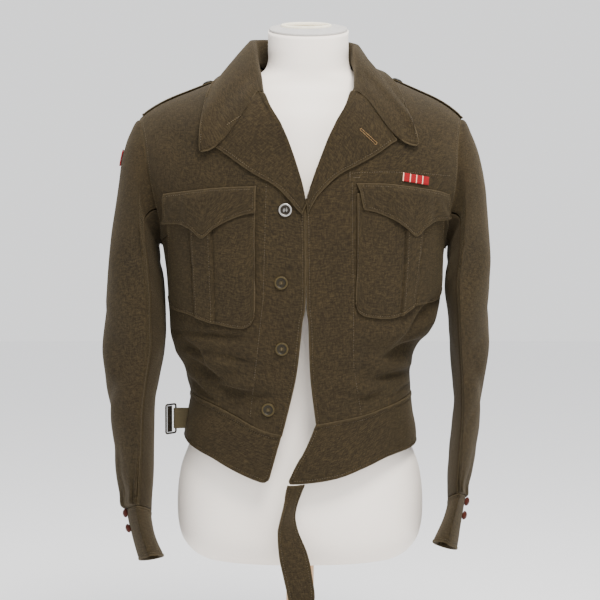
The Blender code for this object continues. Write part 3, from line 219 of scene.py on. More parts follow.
class Shop:
    # one material and its nodes
    def __init__(self, name, roughness=0.8, metallic=0.0, **fixed):
        self.material = bpy.data.materials.new(name)
        self.material.use_nodes = True
        self.tree = self.material.node_tree
        self.shader = self.tree.nodes["Principled BSDF"]
        self.shader.inputs["Roughness"].default_value = roughness
        self.shader.inputs["Metallic"].default_value = metallic
        for key, value in fixed.items():
            self.shader.inputs[key.replace("_", " ")].default_value = value

    def node(self, kind, settings, inputs, output=0):
        made = self.tree.nodes.new(kind)
        stops = settings.pop("stops", None)
        for key, value in settings.items():
            setattr(made, key, value)
        if stops:
            ramp = made.color_ramp
            while len(ramp.elements) < len(stops):
                ramp.elements.new(0.5)
            for element, (place, colour) in zip(ramp.elements, stops):
                element.position = place
                element.color = (*colour, 1.0)
        for key, value in inputs.items():
            value = value.value if isinstance(value, Sock) else value
            if isinstance(value, bpy.types.NodeSocket):
                self.tree.links.new(value, made.inputs[key])
            else:
                made.inputs[key].default_value = value
        return Sock(self, made.outputs[output])

    def set(self, name, value):
        self.tree.links.new(value.value, self.shader.inputs[name])

    def coords(self, kind="Object"):
        return self.node("ShaderNodeTexCoord", {}, {}, kind)

    def noise(self, where, scale, detail=2.0, roughness=0.5):
        return self.node("ShaderNodeTexNoise", {}, {
            "Vector": where, "Scale": scale, "Detail": detail, "Roughness": roughness})

    def ramp(self, factor, stops):
        return self.node("ShaderNodeValToRGB", {"stops": list(stops)}, {"Fac": factor})

    def blend(self, factor, one, two, mode="MIX"):
        return self.node("ShaderNodeMix", {"data_type": "RGBA", "blend_type": mode},
                         {0: factor, 6: one, 7: two}, 2)

    def attribute(self, name):
        return self.node("ShaderNodeAttribute", {"attribute_name": name}, {}, "Fac")

    def parts(self, vector):
        made = self.node("ShaderNodeSeparateXYZ", {}, {0: vector}, 0)
        return [Sock(self, made.value.node.outputs[axis]) for axis in range(3)]

    def bump(self, height, strength, distance):
        self.set("Normal", self.node("ShaderNodeBump", {}, {
            "Strength": strength, "Distance": distance, "Height": height}))


sergeFacts = {
    "dark": (0.0050, 0.0038, 0.0015), "middle": (0.0175, 0.0122, 0.0048), "light": (0.052, 0.0375, 0.0160),
    "fleckScale": 900.0, "slubScale": 430.0, "patchScale": 16.0, "twillPitch": 0.0017,
    "rubHighlightColour": (0.094, 0.069, 0.034), "brown": (0.026, 0.0145, 0.0052, 1.0),
}


# Napped wool serge: heathered fibres, a fine diagonal twill under the nap, and edges lightened partly by worn
# nap and partly as a painted highlight; a shade below 1 darkens a copy of the cloth as painted shade
def makeSerge(name, shade=1.0):
    facts = sergeFacts
    shop = Shop(name, 0.92, Sheen_Weight=0.10, Sheen_Roughness=0.5, Sheen_Tint=(0.60, 0.47, 0.28, 1.0),
                Specular_IOR_Level=0.18)
    where = shop.coords("UV")
    u, v, _ = shop.parts(where)
    fleck = shop.noise(where, facts["fleckScale"], 3.0, 0.65)
    fibre = shop.noise(where, facts["fleckScale"] * 2.6, 2.0, 0.6)
    patch = shop.noise(where, facts["patchScale"], 3.0, 0.55)
    slubs = []
    for stretch in ((0.30, 1.0, 1.0), (1.0, 0.30, 1.0)):
        pulled = shop.node("ShaderNodeMapping", {}, {"Vector": where, "Scale": stretch})
        slubs.append(shop.noise(pulled, facts["slubScale"], 2.0, 0.6))
    twill = (u + v).wave(facts["twillPitch"])
    mixed = fleck * 0.30 + fibre * 0.14 + twill * 0.08 + slubs[0] * 0.26 + slubs[1] * 0.22
    tones = [tuple(channel * shade for channel in facts[key]) for key in ("dark", "middle", "light")]
    cloth = shop.ramp(mixed, ((0.395, tones[0]), (0.50, tones[1]), (0.615, tones[2])))
    brown = shop.blend(shop.noise(where, 5.0, 2.0) * 0.35, cloth, facts["brown"])
    shading = shop.ramp(patch, ((0.25, (0.80, 0.80, 0.80)), (0.75, (1.16, 1.15, 1.13))))
    broad = shop.blend(1.0, brown, shading, "MULTIPLY")
    # the worn nap and a painted highlight along the edges lighten the cloth towards a pale tan
    rubbedAndHighlit = shop.blend(shop.attribute("rubAndHighlight") * (0.25 + 0.5 * fleck), broad, (*facts["rubHighlightColour"], 1.0))
    shop.set("Base Color", rubbedAndHighlit)
    shop.set("Roughness", 0.97 - 0.14 * fleck)
    shop.bump(fleck * 0.5 + twill * 0.35 + fibre * 0.25, 0.55, 0.0006)
    return shop.material


# Tightly woven ribbed tape, ribbon or thread
def makeWoven(name, dark, light, pitch, stripes=None, sheen=0.2):
    shop = Shop(name, 0.85, Sheen_Weight=sheen, Sheen_Roughness=0.4, Specular_IOR_Level=0.25)
    where = shop.coords("UV")
    u, v, _ = shop.parts(where)
    rib = v.wave(pitch)
    cross = u.wave(pitch * 0.7)
    grain = shop.noise(where, 1100.0, 2.0)
    cloth = shop.ramp(rib * 0.35 + cross * 0.2 + grain * 0.45, ((0.25, dark), (0.8, light)))
    if stripes:
        width, centres, colour = stripes
        mask = None
        for centre in centres:
            line = 1.0 - (u - centre).size().over(width / 2)
            mask = line if mask is None else mask + line
        cloth = shop.blend(mask, cloth, (*colour, 1.0))
    shop.set("Base Color", cloth)
    shop.set("Roughness", 0.75 + 0.2 * grain)
    shop.bump(rib * 0.6 + cross * 0.3 + grain * 0.2, 0.5, 0.0003)
    return shop.material


# Plain cotton cover of the form, faintly toned by handling
def makeCalico(name):
    shop = Shop(name, 0.82, Sheen_Weight=0.12, Sheen_Roughness=0.5, Specular_IOR_Level=0.3)
    where = shop.coords("UV")
    u, v, _ = shop.parts(where)
    warp, weft = u.sine(0.0011), v.sine(0.0011)
    cloud = shop.noise(shop.coords(), 6.0, 4.0)
    grain = shop.noise(where, 700.0, 2.0)
    tone = shop.ramp(cloud * 0.75 + grain * 0.25, ((0.3, (0.93, 0.845, 0.755)), (0.7, (0.97, 0.90, 0.82))))
    shop.set("Base Color", tone)
    shop.set("Roughness", 0.78 + 0.12 * grain)
    shop.bump(warp * weft * 0.5 + grain * 0.3, 0.25, 0.0003)
    return shop.material


def makeWood(name):
    shop = Shop(name, 0.42, Coat_Weight=0.25, Coat_Roughness=0.25)
    where = shop.node("ShaderNodeMapping", {}, {"Vector": shop.coords(), "Scale": (1.0, 1.0, 0.06)})
    rings = shop.noise(where, 160.0, 4.0, 0.6)
    streak = shop.noise(where, 620.0, 2.0)
    tone = shop.ramp(rings * 0.7 + streak * 0.3, (
        (0.30, (0.33, 0.185, 0.085)), (0.50, (0.52, 0.32, 0.165)), (0.72, (0.66, 0.45, 0.26))))
    shop.set("Base Color", tone)
    shop.set("Roughness", 0.36 + 0.25 * streak)
    shop.bump(rings * 0.4 + streak * 0.3, 0.2, 0.0004)
    return shop.material


# Paint, metal or horn with faint clouds and scratches, and a darker second colour where shade is painted into
# a button's well
def makeSolid(name, dark, light, roughness, metallic, scale, bumpHeight, wellShade=None, specular=0.5):
    shop = Shop(name, roughness, metallic, Specular_IOR_Level=specular)
    where = shop.coords()
    cloud = shop.noise(where, scale, 4.0, 0.6)
    scratch = shop.noise(shop.node("ShaderNodeMapping", {}, {"Vector": where, "Scale": (1.0, 1.0, 0.2)}),
                         scale * 6, 2.0)
    tone = shop.ramp(cloud * 0.7 + scratch * 0.3, ((0.3, dark), (0.7, light)))
    # painted shade where the mesh marks a button's sunk well
    if wellShade:
        tone = shop.blend(shop.attribute("wellShade"), tone, (*wellShade, 1.0))
    shop.set("Base Color", tone)
    shop.set("Roughness", roughness - 0.10 + 0.28 * scratch)
    shop.bump(cloud * 0.6 + scratch * 0.4, 0.3, bumpHeight)
    return shop.material


# name, the function that makes it, and what that takes after the name
paints = (
    ("olive_serge", makeSerge, ()),
    # a darker copy of the serge: painted shade for the sleeves' under halves, on the side that faces the body
    ("under_serge", makeSerge, (0.66,)),
    ("form_calico", makeCalico, ()),
    ("cap_grey", makeSolid, ((0.42, 0.405, 0.39), (0.50, 0.485, 0.465), 0.7, 0.0, 90.0, 0.0002)),
    ("cap_rim", makeSolid, ((0.78, 0.72, 0.55), (0.86, 0.82, 0.68), 0.6, 0.0, 120.0, 0.0001)),
    ("pole_wood", makeWood, ()),
    ("base_paint", makeSolid, ((0.66, 0.645, 0.61), (0.75, 0.74, 0.71), 0.45, 0.0, 40.0, 0.0001)),
    # the third colour of the brass and silver buttons is painted shade in the dished well
    ("button_brass", makeSolid, ((0.024, 0.017, 0.0045), (0.072, 0.050, 0.013), 0.42, 0.1, 500.0, 0.0001,
                                 (0.014, 0.010, 0.0035), 0.25)),
    ("button_silver", makeSolid, ((0.27, 0.26, 0.245), (0.50, 0.48, 0.46), 0.30, 0.85, 500.0, 0.0001,
                                  (0.030, 0.025, 0.019))),
    ("button_brown", makeSolid, ((0.022, 0.0035, 0.0015), (0.070, 0.012, 0.005), 0.38, 0.0, 420.0, 0.0001,
                                 None, 0.10)),
    ("button_dark", makeSolid, ((0.012, 0.013, 0.012), (0.045, 0.045, 0.038), 0.4, 0.6, 420.0, 0.0001)),
    ("buckle_metal", makeSolid, ((0.012, 0.010, 0.008), (0.070, 0.058, 0.042), 0.42, 0.7, 600.0, 0.0001)),
    ("khaki_tape", makeWoven, ((0.030, 0.023, 0.010), (0.105, 0.080, 0.040), 0.0012)),
    ("thread_tan", makeWoven, ((0.060, 0.042, 0.019), (0.125, 0.090, 0.045), 0.0006)),
    ("thread_gold", makeWoven, ((0.38, 0.20, 0.060), (0.70, 0.44, 0.17), 0.0005)),
    ("thread_pale", makeWoven, ((0.15, 0.11, 0.055), (0.28, 0.21, 0.11), 0.0006)),
    ("thread_dark", makeWoven, ((0.012, 0.010, 0.007), (0.05, 0.04, 0.025), 0.0006)),
    ("ribbon_red", makeWoven, ((0.14, 0.0015, 0.0030), (0.32, 0.0050, 0.0095), 0.0009,
                               (0.0012, (0.0006, 0.0108, 0.0201, 0.0297), (0.80, 0.52, 0.38)), 0.03)),
    ("flash_red", makeWoven, ((0.12, 0.005, 0.006), (0.26, 0.014, 0.014), 0.0014)),
)
materials = {name: make(name, *values) for name, make, values in paints}
print("materials made")

# the trunk's form
bodyTable = Table(
    ("height", "right", "left", "front", "back", "lean"),
    (
        (0.300, 0.164, 0.163, 0.127, 0.112, 0.000),
        (0.371, 0.162, 0.163, 0.128, 0.112, 0.000),
        (0.400, 0.157, 0.158, 0.128, 0.110, 0.000),
        (0.428, 0.153, 0.155, 0.130, 0.110, 0.001),
        (0.446, 0.158, 0.154, 0.133, 0.119, 0.002),
        (0.464, 0.162, 0.153, 0.135, 0.125, 0.003),
        (0.484, 0.174, 0.160, 0.138, 0.128, 0.004),
        (0.508, 0.181, 0.180, 0.139, 0.129, 0.005),
        (0.550, 0.184, 0.195, 0.140, 0.128, 0.007),
        (0.600, 0.187, 0.199, 0.141, 0.125, 0.008),
        (0.635, 0.1925, 0.203, 0.141, 0.123, 0.008),
        (0.665, 0.203, 0.213, 0.141, 0.122, 0.008),
        (0.700, 0.217, 0.227, 0.140, 0.121, 0.008),
        (0.740, 0.230, 0.2345, 0.138, 0.121, 0.009),
        (0.790, 0.237, 0.237, 0.137, 0.121, 0.010),
        (0.880, 0.240, 0.240, 0.136, 0.121, 0.0115),
    ))
ridgeTable = Table(
    ("across", "height"),
    ((0.000, 0.884), (0.050, 0.883), (0.075, 0.877), (0.120, 0.860), (0.155, 0.846),
     (0.190, 0.831), (0.214, 0.816), (0.228, 0.803), (0.250, 0.782)))
armholeTable = Table(
    ("step", "frontAngle", "backAngle", "run"),
    ((0.00, 90.0, 90.0, 0.285), (0.15, 80.0, 79.0, 0.273), (0.30, 71.5, 70.0, 0.243),
     (0.50, 66.0, 64.0, 0.190), (0.70, 64.5, 62.5, 0.128), (0.86, 67.5, 66.0, 0.066),
     (1.00, 70.0, 70.0, 0.000)))
frontEdgeTable = Table(
    ("run", "right", "left"),
    ((0.000, -0.0580, 0.0800), (0.050, -0.0575, 0.0785), (0.100, -0.0510, 0.0710),
     (0.150, -0.0375, 0.0590), (0.197, -0.0195, 0.0405), (0.240, -0.0050, 0.0240),
     (0.277, 0.0035, 0.0125), (0.300, 0.0050, 0.0095), (0.400, 0.0060, 0.0105),
     (0.460, 0.0015, 0.0115), (0.515, -0.0050, 0.0135), (0.560, -0.0150, 0.0185),
     (0.600, -0.0250, 0.0240)))
bandTable = Table(
    ("turn", "top", "bottom"),
    ((-182.0, 0.371, 0.301), (-165.0, 0.381, 0.312), (-150.0, 0.399, 0.327),
     (-135.0, 0.412, 0.343), (-112.0, 0.422, 0.357), (-90.0, 0.425, 0.366),
     (-45.0, 0.427, 0.362), (0.0, 0.428, 0.361), (45.0, 0.427, 0.359), (90.0, 0.425, 0.358),
     (112.0, 0.420, 0.353), (135.0, 0.410, 0.345), (150.0, 0.401, 0.332), (165.0, 0.394, 0.318),
     (180.0, 0.387, 0.311), (192.0, 0.384, 0.310)))

# soft ridges of the trunk's cloth, with a trough where the rise is negative:
# face, across, height, tilt in degrees, length, width, rise
bodyFolds = (
    (front, -0.130, 0.507, -6, 0.090, 0.011, 0.004),
    (front, -0.135, 0.490, -4, 0.090, 0.008, -0.004),
    (front, -0.100, 0.474, 8, 0.090, 0.011, 0.005),
    (front, -0.095, 0.443, 10, 0.110, 0.010, 0.005),
    (front, 0.150, 0.520, 14, 0.080, 0.012, 0.006),
    (front, 0.155, 0.494, 8, 0.070, 0.008, -0.005),
    (front, 0.115, 0.470, -6, 0.100, 0.011, 0.005),
    (front, 0.100, 0.438, -10, 0.090, 0.010, 0.005),
    (back, -0.110, 0.500, 12, 0.110, 0.013, 0.006),
    (back, -0.080, 0.466, -8, 0.130, 0.012, 0.006),
    (back, 0.020, 0.484, 4, 0.120, 0.013, 0.007),
    (back, 0.105, 0.506, -14, 0.110, 0.013, 0.006),
    (back, 0.110, 0.462, 7, 0.120, 0.012, 0.006),
    (back, -0.010, 0.452, -5, 0.100, 0.010, 0.004),
)
# finer creases that the solids leave out, in the same columns
fineFolds = (
    (front, -0.120, 0.5125, -3, 0.092, 0.0056, -0.0056),
    (front, -0.085, 0.4812, -6, 0.048, 0.0052, -0.0046),
    (front, -0.095, 0.4390, -9, 0.076, 0.0056, -0.0052),
    (front, -0.128, 0.4620, -30, 0.066, 0.0060, -0.0046),
    (front, -0.142, 0.4850, -48, 0.056, 0.0060, -0.0046),
    (front, -0.072, 0.4230, 16, 0.060, 0.0040, -0.0024),
    (front, -0.134, 0.4330, -36, 0.054, 0.0055, -0.0040),
    (front, -0.045, 0.4600, 68, 0.090, 0.0070, -0.0014),
    (front, 0.158, 0.5300, 52, 0.070, 0.0065, -0.0056),
    (front, 0.138, 0.4890, 20, 0.064, 0.0060, -0.0052),
    (front, 0.124, 0.4560, 8, 0.056, 0.0056, -0.0048),
    (front, 0.100, 0.4320, 18, 0.054, 0.0050, -0.0034),
    (front, 0.140, 0.4340, 18, 0.046, 0.0045, -0.0028),
    (front, 0.082, 0.4700, 76, 0.080, 0.0070, -0.0015),
    (front, -0.182, 0.6600, 62, 0.070, 0.0075, 0.0022),
    (front, 0.196, 0.6700, -64, 0.070, 0.0075, 0.0022),
    (front, -0.150, 0.7700, -28, 0.120, 0.0160, -0.0014),
    (front, 0.168, 0.7700, 26, 0.110, 0.0160, -0.0014),
    (front, -0.050, 0.6300, 84, 0.160, 0.0110, 0.0011),
    (front, 0.052, 0.6000, 93, 0.160, 0.0110, 0.0011),
    (back, -0.095, 0.4840, 6, 0.080, 0.0055, -0.0032),
    (back, -0.060, 0.4480, -14, 0.070, 0.0050, -0.0028),
    (back, 0.055, 0.4700, -9, 0.080, 0.0055, -0.0032),
    (back, 0.118, 0.4860, 12, 0.070, 0.0050, -0.0030),
    (back, 0.078, 0.4450, 10, 0.070, 0.0045, -0.0026),
    (back, -0.135, 0.4560, 24, 0.060, 0.0050, -0.0028),
    (back, 0.006, 0.5150, -4, 0.120, 0.0090, 0.0020),
    (back, -0.030, 0.5800, 62, 0.150, 0.0160, 0.0022),
    (back, 0.050, 0.6000, -66, 0.150, 0.0160, 0.0022),
    (back, 0.000, 0.8150, 3, 0.150, 0.0110, -0.0020),
    (back, -0.120, 0.7600, 34, 0.120, 0.0150, 0.0022),
    (back, 0.125, 0.7550, -34, 0.120, 0.0150, 0.0022),
    (back, -0.160, 0.6600, 74, 0.110, 0.0120, 0.0024),
    (back, 0.165, 0.6650, -74, 0.110, 0.0120, 0.0024),
)

# where the folds start over the waistband, and how they fade at the side seams, which both
# faces share
foldFacts = {
    "start": 0.001, "fade": 0.016, "seamTurn": 12.0, "sharedTurn": 22.0, "depth": 1.2,
    "deeper": 0.35, "deeperBelow": 0.565, "deeperFade": 0.03,
}
trunk = {
    "roundness": 2.3, "ridgeY": 0.005, "shoulderDrop": 0.110, "shoulderArc": 0.197,
    "neckLean": 0.0115, "underarm": 0.635, "seamGap": 0.0004, "sideSeamShare": 0.52,
    "rowCrowding": 1.15, "neckHalf": 0.0695, "backNeckRun": 0.062,
    "bodyWall": 0.0018, "patchWall": 0.0016, "foldedWall": 0.0024,
    "restingGap": 0.0005, "patchGap": 0.0015, "strapGap": 0.0009,
}
neckLean, seamGap = trunk["neckLean"], trunk["seamGap"]
patchWall, restingGap, patchGap = trunk["patchWall"], trunk["restingGap"], trunk["patchGap"]
bandStart = {"top": -173.5, "bottom": -167.5}
bandEnd = {"top": 174.4, "bottom": 184.5}


def ridgeHeight(across):
    return ridgeTable.at("height", abs(across))


def dropAfter(run):
    arc, drop = trunk["shoulderArc"], trunk["shoulderDrop"]
    return drop * (1 - math.cos(run / arc * math.pi / 2)) if run < arc else drop + run - arc


def runTo(drop):
    arc, whole = trunk["shoulderArc"], trunk["shoulderDrop"]
    if drop < whole:
        return arc * math.acos(1 - max(drop, 0.0) / whole) / (math.pi / 2)
    return arc + drop - whole


def reachAt(side, height):
    return bodyTable.at(sideNames[side], height)


# The angle in degrees is 0 in the middle and 90 at the side seam, negative to the right, and
# the run is the way down from the shoulder's ridge
def bodyPoint(face, angle, run):
    side = left if angle >= 0 else right
    turn = math.radians(min(abs(angle), 90.0))
    power = 2 / trunk["roundness"]
    spread = math.sin(turn) ** power
    fullness = math.sin(min(run / trunk["shoulderArc"], 1.0) * math.pi / 2)
    across = 0.2 * spread
    for _ in range(4):
        height = ridgeHeight(across) - dropAfter(run)
        across = reachAt(side, height) * spread
    depth = bodyTable.at("front" if face == front else "back", height)
    depth *= max(math.cos(turn), 0.0) ** power * fullness
    lean = bodyTable.at("lean", height) * (1 - spread * spread)
    return Vector((side * across + lean, trunk["ridgeY"] + face * depth, height))


def angleAt(across, height):
    lean = bodyTable.at("lean", height)
    shifted = across - lean
    for _ in range(4):
        side = left if shifted >= 0 else right
        spread = min(abs(shifted) / reachAt(side, height), 1.0)
        shifted = across - lean * (1 - spread * spread)
    return side * math.degrees(math.asin(spread ** (trunk["roundness"] / 2)))


# The way round the waist in degrees: 0 in the middle of the back, 180 in the middle of the front.
# It undoes itself
def turnOf(face, angle):
    return angle if face == back else math.copysign(180.0, angle) - angle


def foldRise(face, x, z, folds, sharp=False):
    rise = 0.0
    for foldFace, across, height, tilt, length, width, size in folds:
        if foldFace != face:
            continue
        c, s = math.cos(math.radians(tilt)), math.sin(math.radians(tilt))
        along = (x - across) * c + (z - height) * s
        aside = (z - height) * c - (x - across) * s
        if sharp:
            width = width * (0.55 if aside > 0 else 1.5)
        far = (2 * along / length) ** 2 + (aside / width) ** 2
        if far < 12:
            rise += size * math.exp(-far)
    return rise


def bodyNormal(face, angle, run):
    low, high = max(angle - 0.5, -89.9), min(angle + 0.5, 89.9)
    near = max(run - 0.001, 0.0)
    around = bodyPoint(face, high, run) - bodyPoint(face, low, run)
    down = bodyPoint(face, angle, near + 0.002) - bodyPoint(face, angle, near)
    normal = around.cross(down) if face == back else down.cross(around)
    return normal.normalized()


def clothPoint(face, angle, run, lift=0.0):
    point = bodyPoint(face, angle, run)
    facts = foldFacts
    aboveBand = point.z - bandTable.at("top", turnOf(face, angle)) - facts["start"]
    free = smoothStep(aboveBand / facts["fade"])
    if free > 0:
        fromSeam = 90 - abs(angle)
        nearSeam = smoothStep(fromSeam / facts["seamTurn"])
        deeper = smoothStep((facts["deeperBelow"] - point.z) / facts["deeperFade"])
        depth = facts["depth"] + facts["deeper"] * deeper
        fine = depth * foldRise(face, point.x, point.z, fineFolds, True)
        shared = 0.5 * smoothStep(1 - fromSeam / facts["sharedTurn"])
        broad = mix(foldRise(face, point.x, point.z, bodyFolds),
                    foldRise(-face, point.x, point.z, bodyFolds), shared)
        lift += free * (broad + nearSeam * fine)
    point = point + bodyNormal(face, angle, run) * lift
    point.y += face * seamGap / 2
    return point


def pointOnFront(across, height, lift):
    angle = angleAt(across, height)
    shifted = abs(bodyPoint(front, angle, 0.3).x)
    run = runTo(ridgeHeight(min(shifted, abs(across))) - height)
    return clothPoint(front, angle, run, lift)


def clearOfBody(point, lift):
    face = front if point.y < trunk["ridgeY"] else back
    for _ in range(3):
        ridge = ridgeHeight(point.x - neckLean)
        angle = angleAt(point.x, min(point.z, ridge))
        middle = ridge - trunk["shoulderDrop"]
        depth = abs(bodyPoint(face, angle, trunk["shoulderArc"]).y - trunk["ridgeY"])
        if point.z > middle:
            out = abs(point.y - trunk["ridgeY"]) / max(depth, 0.02)
            run = trunk["shoulderArc"] * math.atan2(out, (point.z - middle) / trunk["shoulderDrop"])
            run /= math.pi / 2
        else:
            run = trunk["shoulderArc"] + middle - point.z
        normal = bodyNormal(face, angle, run)
        over = (point - clothPoint(face, angle, run)).dot(normal)
        if over < lift:
            point = point + normal * (lift - over)
    return point


# cloth on a grid
edgeSteps = (0.0, 0.0004, 0.0010, 0.0020, 0.0030, 0.0040, 0.0046, 0.0052, 0.0064)
leastStep, rubHighlightWidth = 0.0003, 0.0015


# Lines from 0 to 1 about spacing apart on a length, closer together beside the chosen ends
def gridLines(length, spacing, closeStart=True, closeEnd=True, steps=edgeSteps):
    places = set(shares(max(round(length / spacing), 2)))
    for step in steps:
        if closeStart:
            places.add(step / length)
        if closeEnd:
            places.add(1 - step / length)
    kept = []
    for place in sorted(places):
        if not kept or place - kept[-1] > leastStep / length:
            kept.append(place)
    kept[-1] = 1.0
    return kept


class Grid:
    # points of one piece of cloth, its normals, and the way from each point to each edge
    def __init__(self, surface, across, upward, turnOver=False):
        self.u, self.v = np.array(across), np.array(upward)
        self.points = np.array([[surface(u, v)[:] for u in across] for v in upward])
        self.turnOver = turnOver
        self.measure()

    def measure(self):
        du = np.gradient(self.points, axis=1)
        dv = np.gradient(self.points, axis=0)
        normals = np.cross(du, dv)
        length = np.linalg.norm(normals, axis=2, keepdims=True)
        self.normals = normals / np.maximum(length, 1e-12) * (-1 if self.turnOver else 1)
        stepU = np.linalg.norm(np.diff(self.points, axis=1), axis=2)
        stepV = np.linalg.norm(np.diff(self.points, axis=0), axis=2)
        self.fromStart = np.pad(np.cumsum(stepU, axis=1), ((0, 0), (1, 0)))
        self.fromBottom = np.pad(np.cumsum(stepV, axis=0), ((1, 0), (0, 0)))
        self.toEnd = self.fromStart[:, -1:] - self.fromStart
        self.toTop = self.fromBottom[-1:, :] - self.fromBottom

    def nearest(self):
        return np.minimum(np.minimum(self.fromStart, self.toEnd), np.minimum(self.fromBottom, self.toTop))

    def push(self, rise):
        self.points = self.points + self.normals * rise[..., None]

    def uneven(self, size, amount, seed=0.0):
        rise = np.array([[noise.noise(Vector(p) / size + Vector((seed, seed, seed))) for p in row]
                         for row in self.points])
        self.push(rise * amount)

    def area(self):
        du = np.diff(self.points, axis=1)[:-1]
        dv = np.diff(self.points, axis=0)[:, :-1]
        return float(np.linalg.norm(np.cross(du, dv), axis=2).sum())

    def at(self, row, column):
        low, side = int(min(row, len(self.v) - 2)), int(min(column, len(self.u) - 2))
        a, b = row - low, column - side
        def between(values):
            return ((values[low, side] * (1 - b) + values[low, side + 1] * b) * (1 - a)
                    + (values[low + 1, side] * (1 - b) + values[low + 1, side + 1] * b) * a)
        return between(self.points), between(self.normals)


# A turned and stitched edge: raised a little, with a groove where the stitches pull it down
def welt(far, width=0.0042, rise=0.00055, groove=0.0006):
    raised = rise * smooth((width + 0.0004 - far) / 0.0012)
    rounded = -0.0006 * (1 - smooth(far / 0.0011))
    pulled = -groove * np.exp(-((far - width) / 0.0008) ** 2)
    return raised + rounded + pulled


# A seam where a piece is sewn to its neighbour: the cloth dips to it
def sunk(far, depth=0.0007, width=0.0022):
    return -depth * np.exp(-(far / width) ** 2)


# How worn the nap is and how strong the painted edge highlight is, which both fade away from an edge
def rubbingAndHighlight(far, strength):
    return strength * np.exp(-(far / rubHighlightWidth) ** 2)


def finishPiece(piece, material, body, replaced=()):
    piece.data.materials.clear()
    piece.data.materials.append(materials[material])
    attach(piece, body)
    if replaced:
        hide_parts(*replaced)


grids = {}


def makeCloth(name, grid, wall, material="olive_serge",
              rubAndHighlight=None):
    rows, columns = grid.points.shape[:2]
    mesh = bpy.data.meshes.new(name)
    index = np.arange(rows * columns).reshape(rows, columns)
    faces = np.stack((index[:-1, :-1], index[:-1, 1:], index[1:, 1:], index[1:, :-1]), axis=-1)
    faces = faces.reshape(-1, 4)
    if grid.turnOver:
        faces = faces[:, ::-1]
    mesh.from_pydata(grid.points.reshape(-1, 3).tolist(), [], faces.tolist())
    uv = mesh.uv_layers.new(name="weave")
    flat = np.stack((grid.fromStart, grid.fromBottom), axis=-1).reshape(-1, 2)
    corners = np.empty(len(mesh.loops), dtype=np.int32)
    mesh.loops.foreach_get("vertex_index", corners)
    uv.data.foreach_set("uv", flat[corners].ravel())
    if rubAndHighlight is None:
        # by default every edge is lightened: worn nap, and a painted highlight along the welts
        rubAndHighlight = rubbingAndHighlight(grid.nearest(), 0.62)
    rubHighlightMark = mesh.attributes.new("rubAndHighlight", "FLOAT", "POINT")
    rubHighlightMark.data.foreach_set("value", np.clip(rubAndHighlight, 0, 1).astype(np.float32).ravel())
    mesh.shade_smooth()
    piece = addObject(name, mesh)
    solid = piece.modifiers.new("wall", "SOLIDIFY")
    solid.thickness, solid.offset = wall, -1.0
    solid.use_rim = True
    bpy.context.view_layer.objects.active = piece
    bpy.ops.object.modifier_apply(modifier=solid.name)
    finishPiece(piece, material, mainBody, (name,))
    wide, long = float(grid.fromStart[:, -1].max()), float(grid.fromBottom[-1].max())
    area = min(grid.area(), wide * long)
    print(f"{name}: cut {wide:.3f} x {long:.3f} m, {area:.4f} square metres")
    grid.piece = piece
    grids[name] = grid


# Lets a surface keep its square grid while its corners are rounded: each corner is given by
# its place in u and v and its two radii, counted in u and v
def roundCorners(surface, corners):
    def bent(u, v):
        for cornerU, cornerV, radiusU, radiusV in corners:
            p = 1 - abs(u - cornerU) / radiusU
            q = 1 - abs(v - cornerV) / radiusV
            if p > 0 and q > 0:
                inU, inV = p * math.sqrt(1 - q * q / 2), q * math.sqrt(1 - p * p / 2)
                u = cornerU + math.copysign((1 - inU) * radiusU, u - cornerU) if u != cornerU else (
                    cornerU + (1 - inU) * radiusU * (1 if cornerU < 0.5 else -1))
                v = cornerV + math.copysign((1 - inV) * radiusV, v - cornerV) if v != cornerV else (
                    cornerV + (1 - inV) * radiusV * (1 if cornerV < 0.5 else -1))
        return surface(u, v)
    return bent


# fronts and back
def outerEdge(face, side, step):
    share = trunk["sideSeamShare"]
    if step < share:
        low = bandTable.at("top", side * 90.0) + seamGap
        height = mix(low, trunk["underarm"], step / share)
        return side * 90.0, runTo(ridgeHeight(reachAt(side, height)) - height)
    past = (step - share) / (1 - share)
    column = "frontAngle" if face == front else "backAngle"
    return side * armholeTable.at(column, past), armholeTable.at("run", past)


def runToBand(face, angle, guess):
    across = abs(bodyPoint(face, angle, guess).x)
    return runTo(ridgeHeight(across) - bandTable.at("top", turnOf(face, angle)) - seamGap)


# Near the neck the front edge opens a little more, in line with the collar's roll
def rollShift(height):
    return frontFacts["neckShift"] * smoothStep((height - frontFacts["neckStart"]) / 0.03)


def frontSurface(side):
    low = bandTable.at("top", 180.0 if side == left else -176.0) + seamGap
    bottomRun = runTo(ridgeHeight(0.0) - low)
    seamAngle, seamRun = outerEdge(front, side, 0.0)
    fixes = {}

    def innerAt(v):
        run = bottomRun * (1 - v) ** trunk["rowCrowding"]
        x = frontEdgeTable.at(sideNames[side], run)
        height = ridgeHeight(0.0) - dropAfter(run)
        fromButton = (height - frontFacts["buttonHeight"]) / 0.018
        closing = frontFacts["closing"] + frontFacts["closingMore"] * math.exp(-fromButton ** 2)
        x -= side * closing * smoothStep((height - frontFacts["closingStart"]) / 0.020)
        x += side * rollShift(height)
        return angleAt(x, ridgeHeight(abs(x - neckLean)) - dropAfter(run)), run

    def surface(u, v):
        outward = u if side == left else 1 - u
        edgeAngle, edgeRun = outerEdge(front, side, v)
        innerAngle, innerRun = innerAt(v)
        if u not in fixes:
            angle = mix(innerAt(0.0)[0], seamAngle, outward)
            run = mix(bottomRun, seamRun, outward)
            fixes[u] = runToBand(front, angle, run) - run
        run = mix(innerRun, edgeRun, outward) + fixes[u] * (1 - v) ** 4
        return clothPoint(front, mix(innerAngle, edgeAngle, outward), run)
    return surface


